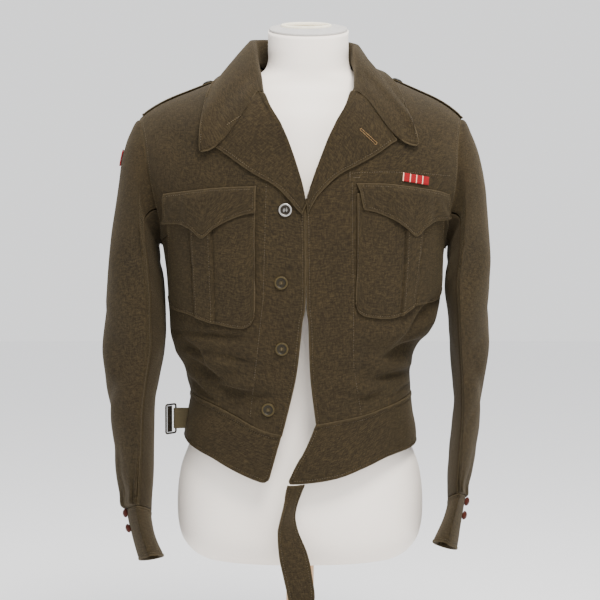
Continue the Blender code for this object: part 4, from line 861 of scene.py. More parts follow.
def backSurface(u, v):
    turn = 1 - 2 * u
    side = left if turn >= 0 else right
    edgeAngle, edgeRun = outerEdge(back, side, v)
    angle = edgeAngle * abs(turn)
    top = bodyPoint(back, angle, 0.0)
    inside = min(abs(top.x - neckLean * (1 - abs(turn))) / trunk["neckHalf"], 1.0)
    topRun = trunk["backNeckRun"] * math.sqrt(max(1 - inside ** 3, 0.0))
    bottomRun = runToBand(back, angle, 0.5)
    share = 1 - edgeRun / outerEdge(back, side, 0.0)[1]
    run = mix(mix(bottomRun, topRun, share), edgeRun, abs(turn) ** 3)
    run = mix(run, topRun, v ** 12)
    return clothPoint(back, angle, run)


# the strips of double cloth behind the openings: how far out they reach at two heights
placketFacts = {
    right: ((0.396, 0.068), (0.560, 0.0495), (0.717, 0.0450)),
    left: ((0.4066, 0.0827), (0.470, 0.0724), (0.717, 0.0697)),
}
frontFacts = {"spacing": 0.0036, "height": 0.50, "width": 0.225, "stripRise": 0.0007, "stripTop": 0.735,
              "stripGroove": 0.0006, "closing": 0.0021, "closingMore": 0.0012, "closingStart": 0.528,
              "buttonHeight": 0.685, "neckShift": 0.004, "neckStart": 0.795}
backFacts = {"spacing": 0.0046, "height": 0.47, "width": 0.45}


def placketX(side, heights):
    places = placketFacts[side]
    return side * np.interp(heights, [p[0] for p in places], [p[1] for p in places])


def makeFronts():
    facts = frontFacts
    across = gridLines(facts["width"], facts["spacing"])
    upward = gridLines(facts["height"], facts["spacing"])
    for side, name in sideNames.items():
        grid = Grid(frontSurface(side), across, upward)
        x, z = grid.points[..., 0], grid.points[..., 2]
        inner = grid.fromStart if side == left else grid.toEnd
        outer = grid.toEnd if side == left else grid.fromStart
        # the way out from the strip's line, which is positive outside the strip
        fromLine = side * (x - placketX(side, z))
        groove = facts["stripGroove"] * np.exp(-((fromLine + 0.0024) / 0.0009) ** 2)
        strip = facts["stripRise"] * smooth(-fromLine / 0.0016) - groove
        strip *= smooth((facts["stripTop"] - z) / 0.02)
        rise = welt(inner) + sunk(outer) + sunk(grid.fromBottom, 0.0012) + sunk(grid.toTop) + strip
        grid.push(rise)
        grid.uneven(0.022, 0.00035, side)
        grid.uneven(0.070, 0.0009, side + 4)
        makeCloth(f"front_{name}", grid, trunk["bodyWall"])


def makeBack():
    facts = backFacts
    across = gridLines(facts["width"], facts["spacing"])
    upward = gridLines(facts["height"], facts["spacing"])
    grid = Grid(backSurface, across, upward)
    rise = sunk(grid.fromStart) + sunk(grid.toEnd) + sunk(grid.fromBottom, 0.0012)
    grid.push(rise)
    grid.uneven(0.024, 0.00035, 2)
    grid.uneven(0.080, 0.0012, 9)
    makeCloth("back", grid, trunk["bodyWall"])


# waistband
bandFacts = {"over": 0.0024, "length": 0.97, "height": 0.067, "waves": 0.0011}


def ringPoint(turn, height, lift):
    face = back if abs(turn) <= 90 else front
    angle = turnOf(face, turn)
    run = 0.5
    for _ in range(4):
        run = runTo(ridgeHeight(abs(bodyPoint(face, angle, run).x)) - height)
    return bodyPoint(face, angle, run) + bodyNormal(face, angle, run) * lift


def bandPoint(u, v):
    start = mix(bandStart["bottom"], bandStart["top"], v)
    end = mix(bandEnd["bottom"], bandEnd["top"], v)
    turn = mix(start, end, 1 - u)
    height = mix(bandTable.at("bottom", turn), bandTable.at("top", turn) + bandFacts["over"], v)
    return ringPoint(turn, height, 0.0)


def makeWaistband():
    length, tall = bandFacts["length"], bandFacts["height"]
    shape = roundCorners(bandPoint, ((1.0, 0.0, 0.010 / length, 0.010 / tall),
                                     (0.0, 0.0, 0.006 / length, 0.006 / tall)))
    grid = Grid(shape, gridLines(length, 0.0050), gridLines(tall, 0.0042))
    rise = welt(grid.fromBottom, 0.0046) + welt(grid.fromStart) + welt(grid.toEnd)
    rise += welt(grid.toTop, 0.0066, 0.0011)
    x = grid.points[..., 0]
    waves = np.sin(x * 52 + 1.3) * np.sin(x * 19 + 0.4)
    waves = bandFacts["waves"] * waves * np.sin(np.pi * np.clip(grid.fromBottom / tall, 0, 1))
    grid.push(rise + waves)
    grid.uneven(0.020, 0.0004, 5)
    makeCloth("waistband", grid, trunk["foldedWall"])


# sleeves and cuffs
# outermost x and z, innermost x and z, crease as a share from inside to outside, front and
# back depth, rise of the ring's front
sleeveRows = {
    right: (
        (0.228, 0.803, 0.1935, 0.635, 0.50, -0.060, 0.070, 0.000),
        (0.2375, 0.786, 0.1965, 0.630, 0.50, -0.063, 0.073, 0.000),
        (0.2470, 0.755, 0.1960, 0.622, 0.46, -0.068, 0.076, 0.000),
        (0.2540, 0.712, 0.1945, 0.610, 0.40, -0.074, 0.079, 0.000),
        (0.2605, 0.662, 0.1915, 0.594, 0.34, -0.078, 0.079, 0.000),
        (0.2665, 0.606, 0.1885, 0.568, 0.30, -0.080, 0.076, 0.000),
        (0.2715, 0.548, 0.1875, 0.530, 0.28, -0.081, 0.072, 0.000),
        (0.2730, 0.495, 0.1875, 0.488, 0.26, -0.081, 0.067, 0.001),
        (0.2715, 0.446, 0.1970, 0.444, 0.24, -0.081, 0.061, 0.002),
        (0.2670, 0.402, 0.2030, 0.401, 0.26, -0.082, 0.054, 0.004),
        (0.2600, 0.355, 0.2035, 0.353, 0.32, -0.083, 0.046, 0.006),
        (0.2555, 0.312, 0.2045, 0.311, 0.40, -0.084, 0.037, 0.009),
        (0.2490, 0.286, 0.2060, 0.286, 0.46, -0.085, 0.029, 0.012),
        (0.2475, 0.268, 0.2065, 0.268, 0.50, -0.084, 0.024, 0.014),
        (0.2400, 0.262, 0.2070, 0.262, 0.50, -0.080, 0.021, 0.015),
        (0.2360, 0.259, 0.2105, 0.259, 0.50, -0.0765, 0.0175, 0.015),
    ),
    left: (
        (0.228, 0.803, 0.2040, 0.635, 0.50, -0.060, 0.070, 0.000),
        (0.2385, 0.786, 0.2065, 0.630, 0.50, -0.063, 0.073, 0.000),
        (0.2500, 0.755, 0.2060, 0.622, 0.44, -0.068, 0.076, 0.000),
        (0.2580, 0.716, 0.2050, 0.610, 0.38, -0.074, 0.079, 0.000),
        (0.2625, 0.668, 0.2035, 0.594, 0.32, -0.078, 0.079, 0.000),
        (0.2645, 0.610, 0.2020, 0.568, 0.26, -0.080, 0.076, 0.000),
        (0.2630, 0.555, 0.2065, 0.533, 0.22, -0.081, 0.072, 0.000),
        (0.2615, 0.500, 0.2090, 0.491, 0.22, -0.081, 0.067, 0.001),
        (0.2580, 0.450, 0.2125, 0.446, 0.24, -0.081, 0.061, 0.002),
        (0.2535, 0.402, 0.2130, 0.401, 0.28, -0.082, 0.054, 0.004),
        (0.2470, 0.356, 0.2095, 0.354, 0.34, -0.083, 0.046, 0.006),
        (0.2400, 0.318, 0.2060, 0.317, 0.42, -0.084, 0.037, 0.009),
        (0.2330, 0.296, 0.2055, 0.296, 0.48, -0.085, 0.029, 0.012),
        (0.2325, 0.283, 0.2055, 0.283, 0.50, -0.084, 0.024, 0.014),
        (0.2300, 0.279, 0.2060, 0.279, 0.50, -0.080, 0.021, 0.015),
        (0.2260, 0.276, 0.2095, 0.276, 0.50, -0.0765, 0.0175, 0.015),
    ),
}
cuffRows = {
    right: (
        (0.2400, 0.2610, 0.2070, 0.2610, 0.50, -0.080, 0.021, 0.015),
        (0.2395, 0.2500, 0.2065, 0.2490, 0.50, -0.082, 0.021, 0.016),
        (0.2330, 0.2250, 0.2010, 0.2260, 0.50, -0.086, 0.016, 0.014),
        (0.2235, 0.1940, 0.1890, 0.2005, 0.50, -0.092, 0.009, 0.0105),
    ),
    left: (
        (0.2300, 0.2780, 0.2060, 0.2780, 0.50, -0.080, 0.021, 0.015),
        (0.2280, 0.2670, 0.2040, 0.2650, 0.50, -0.082, 0.021, 0.016),
        (0.2235, 0.2430, 0.1960, 0.2440, 0.50, -0.086, 0.016, 0.014),
        (0.2180, 0.2090, 0.1840, 0.2200, 0.50, -0.092, 0.009, 0.0105),
    ),
}
sleeveFacts = {"start": 0.022, "frontSeam": 118.0, "backSeam": 236.0, "seamTurn": 1.0,
               "creasePower": 5 / 3, "spacing": 0.0046, "tuck": 0.0008, "length": 0.56,
               "topWidth": 0.26, "underWidth": 0.12}
# turn, tilt, row, half turn, half rows, rise
sleeveFolds = (
    (35.0, 0.00, 12.1, 9.0, 1.6, -0.0050),
    (62.0, 0.00, 12.3, 8.0, 1.2, 0.0035),
    (8.0, 0.00, 12.4, 9.0, 1.3, 0.0030),
    (-28.0, 0.00, 12.2, 10.0, 1.5, -0.0045),
    (-58.0, 0.00, 12.5, 9.0, 1.2, 0.0030),
    (30.0, 0.02, 7.6, 34.0, 0.5, 0.0040),
    (20.0, -0.02, 8.6, 36.0, 0.4, -0.0040),
    (45.0, 0.02, 5.4, 30.0, 0.6, 0.0035),
    (-40.0, 0.01, 6.8, 34.0, 0.6, 0.0040),
)
fineSleeveFolds = (
    (22.0, 0.00, 12.7, 4.0, 0.9, -0.0030),
    (104.0, 0.00, 11.9, 6.0, 1.1, -0.0048),
    (92.0, 0.00, 12.2, 5.0, 1.3, 0.0026),
    (50.0, 0.00, 12.8, 4.0, 0.8, -0.0020),
    (78.0, 0.00, 12.7, 4.5, 0.9, -0.0020),
    (-8.0, 0.00, 12.8, 4.5, 0.8, -0.0020),
    (-44.0, 0.00, 12.7, 4.5, 1.0, -0.0022),
    (-78.0, 0.00, 12.8, 5.0, 0.9, -0.0020),
    (52.0, 0.012, 7.1, 26.0, 0.16, -0.0018),
    (36.0, -0.014, 8.15, 24.0, 0.18, -0.0020),
    (60.0, 0.018, 9.2, 20.0, 0.20, -0.0016),
    (10.0, 0.010, 6.2, 26.0, 0.22, -0.0013),
    (66.0, -0.016, 4.4, 22.0, 0.22, -0.0014),
    (-50.0, -0.012, 7.5, 28.0, 0.22, -0.0018),
    (-70.0, 0.014, 8.6, 24.0, 0.22, -0.0016),
    (-30.0, 0.012, 9.6, 24.0, 0.30, -0.0016),
    (30.0, 0.014, 10.4, 26.0, 0.30, -0.0016),
    (75.0, 0.000, 2.6, 20.0, 0.50, -0.0018),
    (-60.0, 0.010, 3.4, 30.0, 0.50, -0.0018),
    (140.0, 0.010, 5.0, 24.0, 0.40, -0.0022),
    (165.0, -0.010, 7.2, 26.0, 0.35, -0.0024),
    (200.0, 0.010, 8.8, 26.0, 0.40, -0.0022),
    (190.0, 0.010, 3.4, 30.0, 0.45, -0.0022),
)


def ringOf(row, side, turn):
    outerX, outerZ, innerX, innerZ, crease, frontY, backY, rise = row
    angle = math.radians(turn)
    across, forward = math.cos(angle), math.sin(angle)
    plain = 0.5 * (outerX + innerX) + 0.5 * (outerX - innerX) * across
    x = plain
    if forward > 0:
        middle = mix(innerX, outerX, crease)
        wide = outerX - middle if across > 0 else middle - innerX
        pointed = math.copysign(abs(across) ** sleeveFacts["creasePower"], across)
        x = mix(plain, middle + wide * pointed, forward)
    z = 0.5 * (outerZ + innerZ) + 0.5 * (outerZ - innerZ) * across + rise * forward
    y = 0.5 * (frontY + backY) - 0.5 * (backY - frontY) * forward
    return Vector((side * x, y, z))


def armholeLoop(side, turn):
    turn = turn % 360.0
    face = front if turn <= 180.0 else back
    step = 1 - turn / 180.0 if face == front else (turn - 180.0) / 180.0
    column = "frontAngle" if face == front else "backAngle"
    angle, run = side * armholeTable.at(column, step), armholeTable.at("run", step)
    point = bodyPoint(face, angle, run)
    point.x -= side * sleeveFacts["tuck"]
    return point


def sleeveFold(turn, row):
    rise = 0.0
    signed = (turn + 124.0) % 360.0 - 124.0
    for foldTurn, tilt, foldRow, halfTurn, halfRows, size in sleeveFolds + fineSleeveFolds:
        aside = (signed - foldTurn) / halfTurn
        along = (row - foldRow - tilt * (signed - foldTurn)) / halfRows
        rise += size * math.exp(-aside * aside - along * along)
    return rise


# Level and away from the middle of a sleeve's ring
def outFrom(row, side, point):
    middle = 0.5 * (ringOf(row, side, 0) + ringOf(row, side, 180))
    return Vector((point.x - middle.x, point.y - middle.y, 0.0)).normalized()


def sleevePoint(side, turn, row):
    rows = sleeveRows[side]
    last = len(rows) - 1
    low = min(int(row), last - 1)
    rings = []
    for i in (low - 1, low, low + 1, low + 2):
        i = min(max(i, 0), last)
        rings.append(armholeLoop(side, turn) if i == 0 else ringOf(rows[i], side, turn))
    startSlope = (rings[2] - rings[0]) * 0.5 if low > 0 else Vector((side * sleeveFacts["start"], 0, 0))
    endSlope = (rings[3] - rings[1]) * (0.5 if low < last - 1 else 1.0)
    point = hermite(rings[1], rings[2], startSlope, endSlope, row - low)
    nearEnd = smoothStep(last - row) * smoothStep(row)
    return point + outFrom(rows[low + 1], side, point) * sleeveFold(turn, row) * nearEnd


def makeSleeves():
    facts = sleeveFacts
    topRows = len(sleeveRows[right]) - 1
    downward = [topRows * (1 - v) for v in gridLines(facts["length"], facts["spacing"])]
    halves = (("top", facts["backSeam"] - 360.0, facts["frontSeam"], facts["topWidth"]),
              ("under", facts["frontSeam"], facts["backSeam"], facts["underWidth"]))
    for side, name in sideNames.items():
        for half, start, end, width in halves:
            def surface(u, row):
                return sleevePoint(side, mix(start + facts["seamTurn"], end - facts["seamTurn"], u), row)
            grid = Grid(surface, gridLines(width, facts["spacing"]), downward, side == left)
            rise = sunk(grid.fromStart) + sunk(grid.toEnd) + sunk(grid.fromBottom, 0.0012, 0.003)
            grid.push(rise + sunk(grid.toTop, 0.0006))
            grid.uneven(0.024, 0.0004, side * 3)
            grid.uneven(0.075, 0.0012, side * 5)
            seam = np.minimum(np.minimum(grid.fromStart, grid.toEnd), grid.toTop)
            # the under halves take the darker serge, which paints the shade of the sleeve's inner side
            makeCloth(f"sleeve_{half}_{name}", grid, trunk["bodyWall"],
                      material="olive_serge" if half == "top" else "under_serge",
                      rubAndHighlight=rubbingAndHighlight(seam, 0.30))


cuffFacts = {"start": 250.0, "overlap": 24.0, "lap": 0.0030, "lapStart": 320.0, "lapTurn": 36.0,
             "buttonTurn": 16.0, "buttonSteps": {right: (0.19, 0.53), left: (0.20, 0.53)},
             "buttonLift": 0.0016, "buttonLean": Vector((0.0, -0.42, 0.0)), "length": 0.27, "height": 0.066}


def cuffSurface(side):
    rows = cuffRows[side]
    last = len(rows) - 1
    facts = cuffFacts

    def surface(u, v):
        turn = facts["start"] + u * (360.0 + facts["overlap"])
        row = (1 - v) * last
        low = min(int(row), last - 1)
        near = (low - 1, low, low + 1, low + 2)
        before, start, end, after = [ringOf(rows[min(max(i, 0), last)], side, turn) for i in near]
        point = hermite(start, end, (end - before) * 0.5, (after - start) * 0.5, row - low)
        lap = smoothStep((turn - facts["start"] - facts["lapStart"]) / facts["lapTurn"])
        return point + outFrom(rows[low], side, point) * facts["lap"] * lap
    return surface


def makeCuffs():
    length, tall = cuffFacts["length"], cuffFacts["height"]
    for side, name in sideNames.items():
        shape = roundCorners(cuffSurface(side), ((1.0, 0.0, 0.008 / length, 0.008 / tall),
                                                 (1.0, 1.0, 0.005 / length, 0.005 / tall)))
        grid = Grid(shape, gridLines(length, 0.0040), gridLines(tall, 0.0036), side == left)
        rise = welt(grid.fromBottom) + welt(grid.fromStart) + welt(grid.toEnd)
        grid.push(rise + welt(grid.toTop, 0.0040, 0.0004))
        grid.uneven(0.016, 0.0005, side * 7)
        makeCloth(f"cuff_{name}", grid, trunk["foldedWall"])


# pockets and flaps
flapEdge = Table(
    ("share", "drop"),
    ((0.00, 0.0455), (0.08, 0.0465), (0.22, 0.0495), (0.34, 0.0585), (0.45, 0.0725), (0.56, 0.0605),
     (0.68, 0.0505), (0.86, 0.0405), (1.00, 0.0365)))
pocketFacts = {
    "inner": 0.068, "outer": 0.187, "belowFlapTop": 0.014, "corner": 0.016, "slant": 0.08,
    "dipWidth": 0.028,
    # dip and its place, climb, and its start and width
    "sag": {right: (0.004, 0.090, 0.008, 0.120, 0.050), left: (0.007, 0.112, 0.008, 0.124, 0.026)},
    "bottoms": {right: 0.526, left: 0.537},
    # middle and half width
    "pleatTop": {right: (0.143, 0.0147), left: (0.1475, 0.0132)},
    "pleatBottom": {right: (0.1335, 0.0133), left: (0.1365, 0.0090)},
    "pleatRise": 0.0030, "pleatSlope": 0.0013, "pleatGroove": 0.0010, "bulge": 0.0016, "height": 0.165,
}
flapFacts = {"inner": 0.067, "outer": 0.197, "top": 0.7185, "topDrop": 0.009,
             "narrowing": {right: 0.004, left: -0.009}, "pointShift": {right: 0.0, left: 0.045},
             "outerLift": {right: 0.0, left: 0.009},
             "climb": 0.012, "pleatMiddle": 0.140, "pleatHalf": 0.0135, "pleatSlope": 0.004,
             "pleatGap": 0.004, "freeLift": 0.0008, "freeHeight": 0.034}


def flapTop(away):
    share = (away - flapFacts["inner"]) / (flapFacts["outer"] - flapFacts["inner"])
    return flapFacts["top"] - flapFacts["topDrop"] * abs(share - 0.35) ** 1.5


def pleatAt(side, v):
    top, bottom = pocketFacts["pleatTop"][side], pocketFacts["pleatBottom"][side]
    return mix(bottom[0], top[0], v), mix(bottom[1], top[1], v)


def pocketSurface(side):
    facts = pocketFacts

    def surface(away, v):
        fromSide = min(away - facts["inner"], facts["outer"] - away)
        short = max(1 - fromSide / facts["corner"], 0.0)
        bottom = facts["bottoms"][side] + facts["corner"] * (1 - math.sqrt(max(1 - short * short, 0.0)))
        bottom += facts["slant"] * (away - facts["inner"])
        dip, dipAt, climb, climbAt, climbWide = facts["sag"][side]
        bottom += climb * smoothStep((away - climbAt) / climbWide)
        bottom -= dip * math.exp(-((away - dipAt) / facts["dipWidth"]) ** 2)
        height = mix(bottom, flapTop(away) - facts["belowFlapTop"], v)
        middle, half = pleatAt(side, v)
        fromEdge = half - abs(away - middle)
        lift = patchGap + patchWall + facts["pleatRise"] * smoothStep(fromEdge / facts["pleatSlope"])
        lift -= facts["pleatGroove"] * math.exp(-((fromEdge + 0.0008) / 0.0012) ** 2)
        halfTurn = math.pi * min(max(1 - v, 0.0), 1.0)
        lift += facts["bulge"] * math.sin(halfTurn) * smoothStep(fromSide / 0.03)
        return pointOnFront(side * away + bodyTable.at("lean", height), height, lift)
    return surface


def flapSurface(side):
    facts = flapFacts

    def surface(away, down):
        share = (facts["outer"] - away) / (facts["outer"] - facts["inner"])
        drop = flapEdge.at("drop", share + facts["pointShift"][side] * 4 * share * (1 - share))
        drop -= facts["outerLift"][side] * max(1 - share, 0.0) ** 5
        below = facts["climb"] * down if down < 1 else mix(facts["climb"], drop, down - 1)
        height = flapTop(away) - below
        fromPleat = abs(away - facts["pleatMiddle"]) - facts["pleatHalf"] - facts["pleatSlope"]
        fromPleat -= facts["pleatGap"]
        nearPleat = smoothStep(1 - fromPleat / facts["climb"])
        raised = patchGap + patchWall + pocketFacts["pleatRise"] * nearPleat
        raised += facts["freeLift"] * smoothStep(down - 1)
        lift = restingGap + patchWall + raised * smoothStep(min(down, 1.0)) ** 0.6
        away -= facts["narrowing"][side] * 0.5 * down * (share ** 6 if side == left else (1 - share) ** 2)
        return pointOnFront(side * away + bodyTable.at("lean", height), height, lift)
    return surface


def placed(side, low, high, share):
    return mix(low, high, share) if side == left else mix(high, low, share)


pleatSteps = (-0.0024, -0.0014, -0.0007, 0.0, 0.0006, 0.0013)


def makePockets():
    facts = pocketFacts
    width, tall = facts["outer"] - facts["inner"], facts["height"]
    for side, name in sideNames.items():
        slopes = []
        for place in (-1, 1):
            for v in (0.0, 0.5, 1.0):
                middle, half = pleatAt(side, v)
                slopes += [middle + place * (half - step) for step in pleatSteps]
        across = [placed(side, facts["inner"], facts["outer"], u) for u in gridLines(width, 0.0032)]
        across = sorted(across + slopes, reverse=side == right)
        kept = [across[0]]
        for away in across[1:]:
            if abs(away - kept[-1]) > leastStep:
                kept.append(away)
        grid = Grid(pocketSurface(side), kept, gridLines(tall, 0.0036, True, False))
        rise = welt(grid.fromStart, 0.0030) + welt(grid.toEnd, 0.0030) + welt(grid.fromBottom, 0.0034)
        grid.push(rise)
        grid.uneven(0.024, 0.0004, side * 11)
        makeCloth(f"pocket_{name}", grid, patchWall)


def makeFlaps():
    facts = flapFacts
    for side, name in sideNames.items():
        across = [placed(side, facts["inner"], facts["outer"], u)
                  for u in gridLines(facts["outer"] - facts["inner"], 0.0030)]
        downward = [2.0 - v for v in shares(11)[:-1]] + [1.0 - v for v in shares(7)]
        close = [2.0 - step / facts["freeHeight"] for step in edgeSteps[1:]]
        downward = sorted(set(downward + close), reverse=True)
        grid = Grid(flapSurface(side), across, downward)
        rise = welt(grid.fromBottom, 0.0046, 0.0006) + welt(grid.fromStart, 0.0036) + welt(grid.toEnd, 0.0036)
        grid.push(rise + sunk(grid.toTop, 0.0006))
        grid.uneven(0.020, 0.0004, side * 13)
        makeCloth(f"flap_{name}", grid, patchWall)


# collar and lapels
lapelTable = Table(
    ("share", "rightX", "rightZ", "leftX", "leftZ"),
    ((0.00, 0.0030, 0.6750, 0.0100, 0.6750), (0.06, -0.0050, 0.6830, 0.0165, 0.6880),
     (0.12, -0.0125, 0.6925, 0.0245, 0.7010),
     (0.30, -0.0320, 0.7120, 0.0500, 0.7260), (0.50, -0.0560, 0.7270, 0.0760, 0.7400),
     (0.75, -0.0880, 0.7480, 0.1060, 0.7560), (1.00, -0.1160, 0.7660, 0.1310, 0.7720)))
collarTable = Table(
    ("station", "seamX", "seamY", "seamZ", "rollX", "rollY", "rollZ", "edgeX", "edgeY", "edgeZ"),
    (
        (0.0, 0.0600, -0.1020, 0.8340, 0.0660, -0.1040, 0.8390, 0.1465, -0.128, 0.7640),
        (1.0, 0.0655, -0.0660, 0.8640, 0.0705, -0.0680, 0.8760, 0.1450, -0.105, 0.8050),
        (2.0, 0.0685, -0.0330, 0.8760, 0.0735, -0.0340, 0.9020, 0.1370, -0.060, 0.8400),
        (3.0, 0.0700, 0.0000, 0.8800, 0.0760, 0.0020, 0.9180, 0.1210, -0.012, 0.8600),
        (4.0, 0.0660, 0.0330, 0.8800, 0.0730, 0.0400, 0.9240, 0.1070, 0.040, 0.8640),
        (5.0, 0.0400, 0.0560, 0.8760, 0.0460, 0.0690, 0.9260, 0.0720, 0.0840, 0.8620),
        (6.0, 0.0000, 0.0630, 0.8750, 0.0000, 0.0800, 0.9270, 0.0000, 0.1010, 0.8600),
    ))
lapelFacts = {"roll": {right: (0.282, 0.121), left: (0.276, 0.121)}, "gap": 0.0014, "rollDrop": 0.004,
              "rollLift": 0.0030, "beyond": 0.0044, "extraLift": 0.0013, "edgeLift": 0.0016,
              "rollShare": 0.055, "under": 0.0060, "underShare": {right: 0.3, left: 1.0},
              "width": 0.125, "height": 0.16, "corner": 0.006}
collarFacts = {"stations": 6, "radius": 0.0036, "skew": 0.155, "drop": 0.006, "flush": 0.0018,
               "endBow": 0.018, "swell": 0.004, "seamLift": 0.0007, "standLift": 0.0050,
               "standPart": 0.26, "rollPart": 0.50, "tipLift": {right: 0.0050, left: 0.0085}}


def collarSag(share, station):
    end = max(1 - station, 0.0) ** 2
    swell = collarFacts["swell"] * math.sin(math.pi * share)
    return swell - collarFacts["endBow"] * math.sin(math.pi * share ** 1.4) * end


def gorgeHeight(side, across):
    away = side * (across - neckLean)
    rollX, edgeX = collarTable.at("rollX", 0.0), collarTable.at("edgeX", 0.0)
    if away < rollX:
        return collarTable.at("seamZ", 0.0)
    share = min(max((away - rollX) / (edgeX - rollX), 0.0), 1.0)
    height = mix(collarTable.at("rollZ", 0.0), collarTable.at("edgeZ", 0.0), share) + collarSag(share, 0.0)
    return height + collarFacts["tipLift"][side] * share ** 2


def lapelSurface(side):
    name, facts = sideNames[side], lapelFacts
    tipX = lapelTable.at(name + "X", 1.0)

    def surface(outward, v):
        run = mix(*facts["roll"][side], v)
        rollX = frontEdgeTable.at(name, run)
        height = ridgeHeight(abs(rollX - neckLean)) - dropAfter(run)
        rollX += side * (rollShift(height) - facts["beyond"])
        across = mix(rollX, lapelTable.at(name + "X", v), outward)
        topRollX = frontEdgeTable.at(name, facts["roll"][side][1])
        topX = mix(topRollX, tipX, outward)
        top = gorgeHeight(side, topX) - facts["gap"] - facts["rollDrop"] * (1 - outward) ** 4
        nearTip = smoothStep((outward - 0.78) / 0.16)
        top += facts["under"] * (1 - nearTip * facts["underShare"][side])
        straightTop = mix(gorgeHeight(side, topRollX) - facts["gap"], gorgeHeight(side, tipX) - facts["gap"],
                          outward)
        edgeZ = mix(lapelTable.at(name + "Z", v), gorgeHeight(side, tipX) - facts["gap"], v ** 6)
        low = mix(height, edgeZ, outward) + (top - straightTop) * v ** 2
        lift = restingGap + trunk["bodyWall"] + facts["extraLift"] + facts["rollLift"] * (1 - outward) ** 2
        if outward < facts["rollShare"]:
            around = 1 - outward / facts["rollShare"]
            lift = mix(facts["edgeLift"], lift, math.sqrt(max(1 - around * around, 0.0)))
        return pointOnFront(across, low, lift)
    return surface


def makeLapels():
    facts = lapelFacts
    rollLines = [facts["rollShare"] * (1 - math.cos(a * math.pi / 12)) for a in range(7)]
    flatLines = [u for u in gridLines(facts["width"], 0.0032, False) if u > facts["rollShare"] * 1.05]
    corner = (1.0, 1.0, facts["corner"] / facts["width"], facts["corner"] / 0.15)
    for side, name in sideNames.items():
        outward = sorted(set(rollLines + flatLines))
        if side == right:
            outward = outward[::-1]
        shape = roundCorners(lapelSurface(side), (corner,))
        grid = Grid(shape, outward, gridLines(facts["height"], 0.0036))
        edge = grid.toEnd if side == left else grid.fromStart
        grid.push(welt(edge, 0.0046, 0.0006) + welt(grid.fromBottom, 0.003))
        grid.uneven(0.020, 0.0003, side * 17)
        makeCloth(f"lapel_{name}", grid, trunk["bodyWall"])


def roundedCorner(seam, roll, edge, radius, share):
    down, out = (seam - roll).normalized(), (edge - roll).normalized()
    half = 0.5 * math.acos(max(min(down.dot(out), 1.0), -1.0))
    inward = (down + out).normalized() if half < math.radians(88) else Vector((0, 0, -1))
    leg = min(radius / math.tan(half), 0.6 * (seam - roll).length)
    centre = roll + inward * (leg / math.cos(half))
    start, end = roll + down * leg, roll + out * leg
    spoke = (start - centre).lerp(end - centre, share).lerp(roll - centre, 1.4 * share * (1 - share))
    return centre + spoke.normalized() * (start - centre).length, start, end


def collarSurface(u, v):
    facts = collarFacts
    station = 2 * facts["stations"] * u
    side = right if station > facts["stations"] else left
    key = 2 * facts["stations"] - station if side == right else station
    points = []
    for name in ("seam", "roll", "edge"):
        x, y, z = (collarTable.at(name + axis, key) for axis in "XYZ")
        if side == left:
            lean = math.sin(math.pi * key / facts["stations"]) ** 2
            x *= 1 - facts["skew"] * lean
            z -= facts["drop"] * lean
        points.append(Vector((side * x + neckLean, y, z)))
    seam, roll, edge = points
    if v < facts["standPart"]:
        point = seam.lerp(roundedCorner(seam, roll, edge, facts["radius"], 0.0)[1], v / facts["standPart"])
    elif v <= facts["rollPart"]:
        share = (v - facts["standPart"]) / (facts["rollPart"] - facts["standPart"])
        point = roundedCorner(seam, roll, edge, facts["radius"], share)[0]
    else:
        end = roundedCorner(seam, roll, edge, facts["radius"], 1.0)[2]
        share = (v - facts["rollPart"]) / (1 - facts["rollPart"])
        point = end.lerp(edge, share)
        point.z += collarSag(share, key) + facts["tipLift"][side] * share ** 2 * max(1 - key, 0.0) ** 2
        laid = smoothStep((1.15 - key) / 1.0) * smoothStep(share / 0.12)
        if laid > 0:
            flush = facts["flush"] * (1 - smoothStep((share - 0.45) / 0.25)) * smoothStep((0.35 - key) / 0.3)
            onLapel = 2 * trunk["bodyWall"] + restingGap + lapelFacts["extraLift"] + 0.0006 - flush
            return point.lerp(pointOnFront(point.x, point.z, onLapel), laid)
    lift = mix(facts["seamLift"], facts["standLift"], smoothStep(v / 0.13))
    if v > facts["standPart"]:
        lift = restingGap + trunk["bodyWall"] + lapelFacts["rollLift"]
    return clearOfBody(point, lift)


def makeCollar():
    length, fallWidth, corner = 0.60, 0.085, 0.006
    standPart, rollPart = collarFacts["standPart"], collarFacts["rollPart"]
    stand = [standPart * v for v in shares(5)]
    roll = [mix(standPart, rollPart, v) for v in shares(12)]
    fall = [mix(rollPart, 1.0, v) for v in gridLines(fallWidth, 0.0040, False, True)]
    upward = sorted(set(stand[:-1] + roll[:-1] + fall))
    radii = (corner / length, (1 - rollPart) * corner / fallWidth)
    shape = roundCorners(collarSurface, ((0.0, 1.0, *radii), (1.0, 1.0, *radii)))
    grid = Grid(shape, gridLines(length, 0.0046), upward)
    rise = welt(grid.toTop, 0.0046, 0.0006)
    onFall = smooth((np.array(upward)[:, None] - 0.74) / 0.12)
    rise = rise + (welt(grid.fromStart, 0.0046, 0.0006) + welt(grid.toEnd, 0.0046, 0.0006)) * onFall
    grid.push(rise)
    grid.uneven(0.020, 0.0003, 23)
    nearEnds = np.minimum(grid.fromStart, grid.toEnd) + 0.02 * (1 - onFall)
    rubAndHighlight = rubbingAndHighlight(np.minimum(grid.toTop, nearEnds), 0.80)
    makeCloth("collar", grid, trunk["bodyWall"], rubAndHighlight=rubAndHighlight)


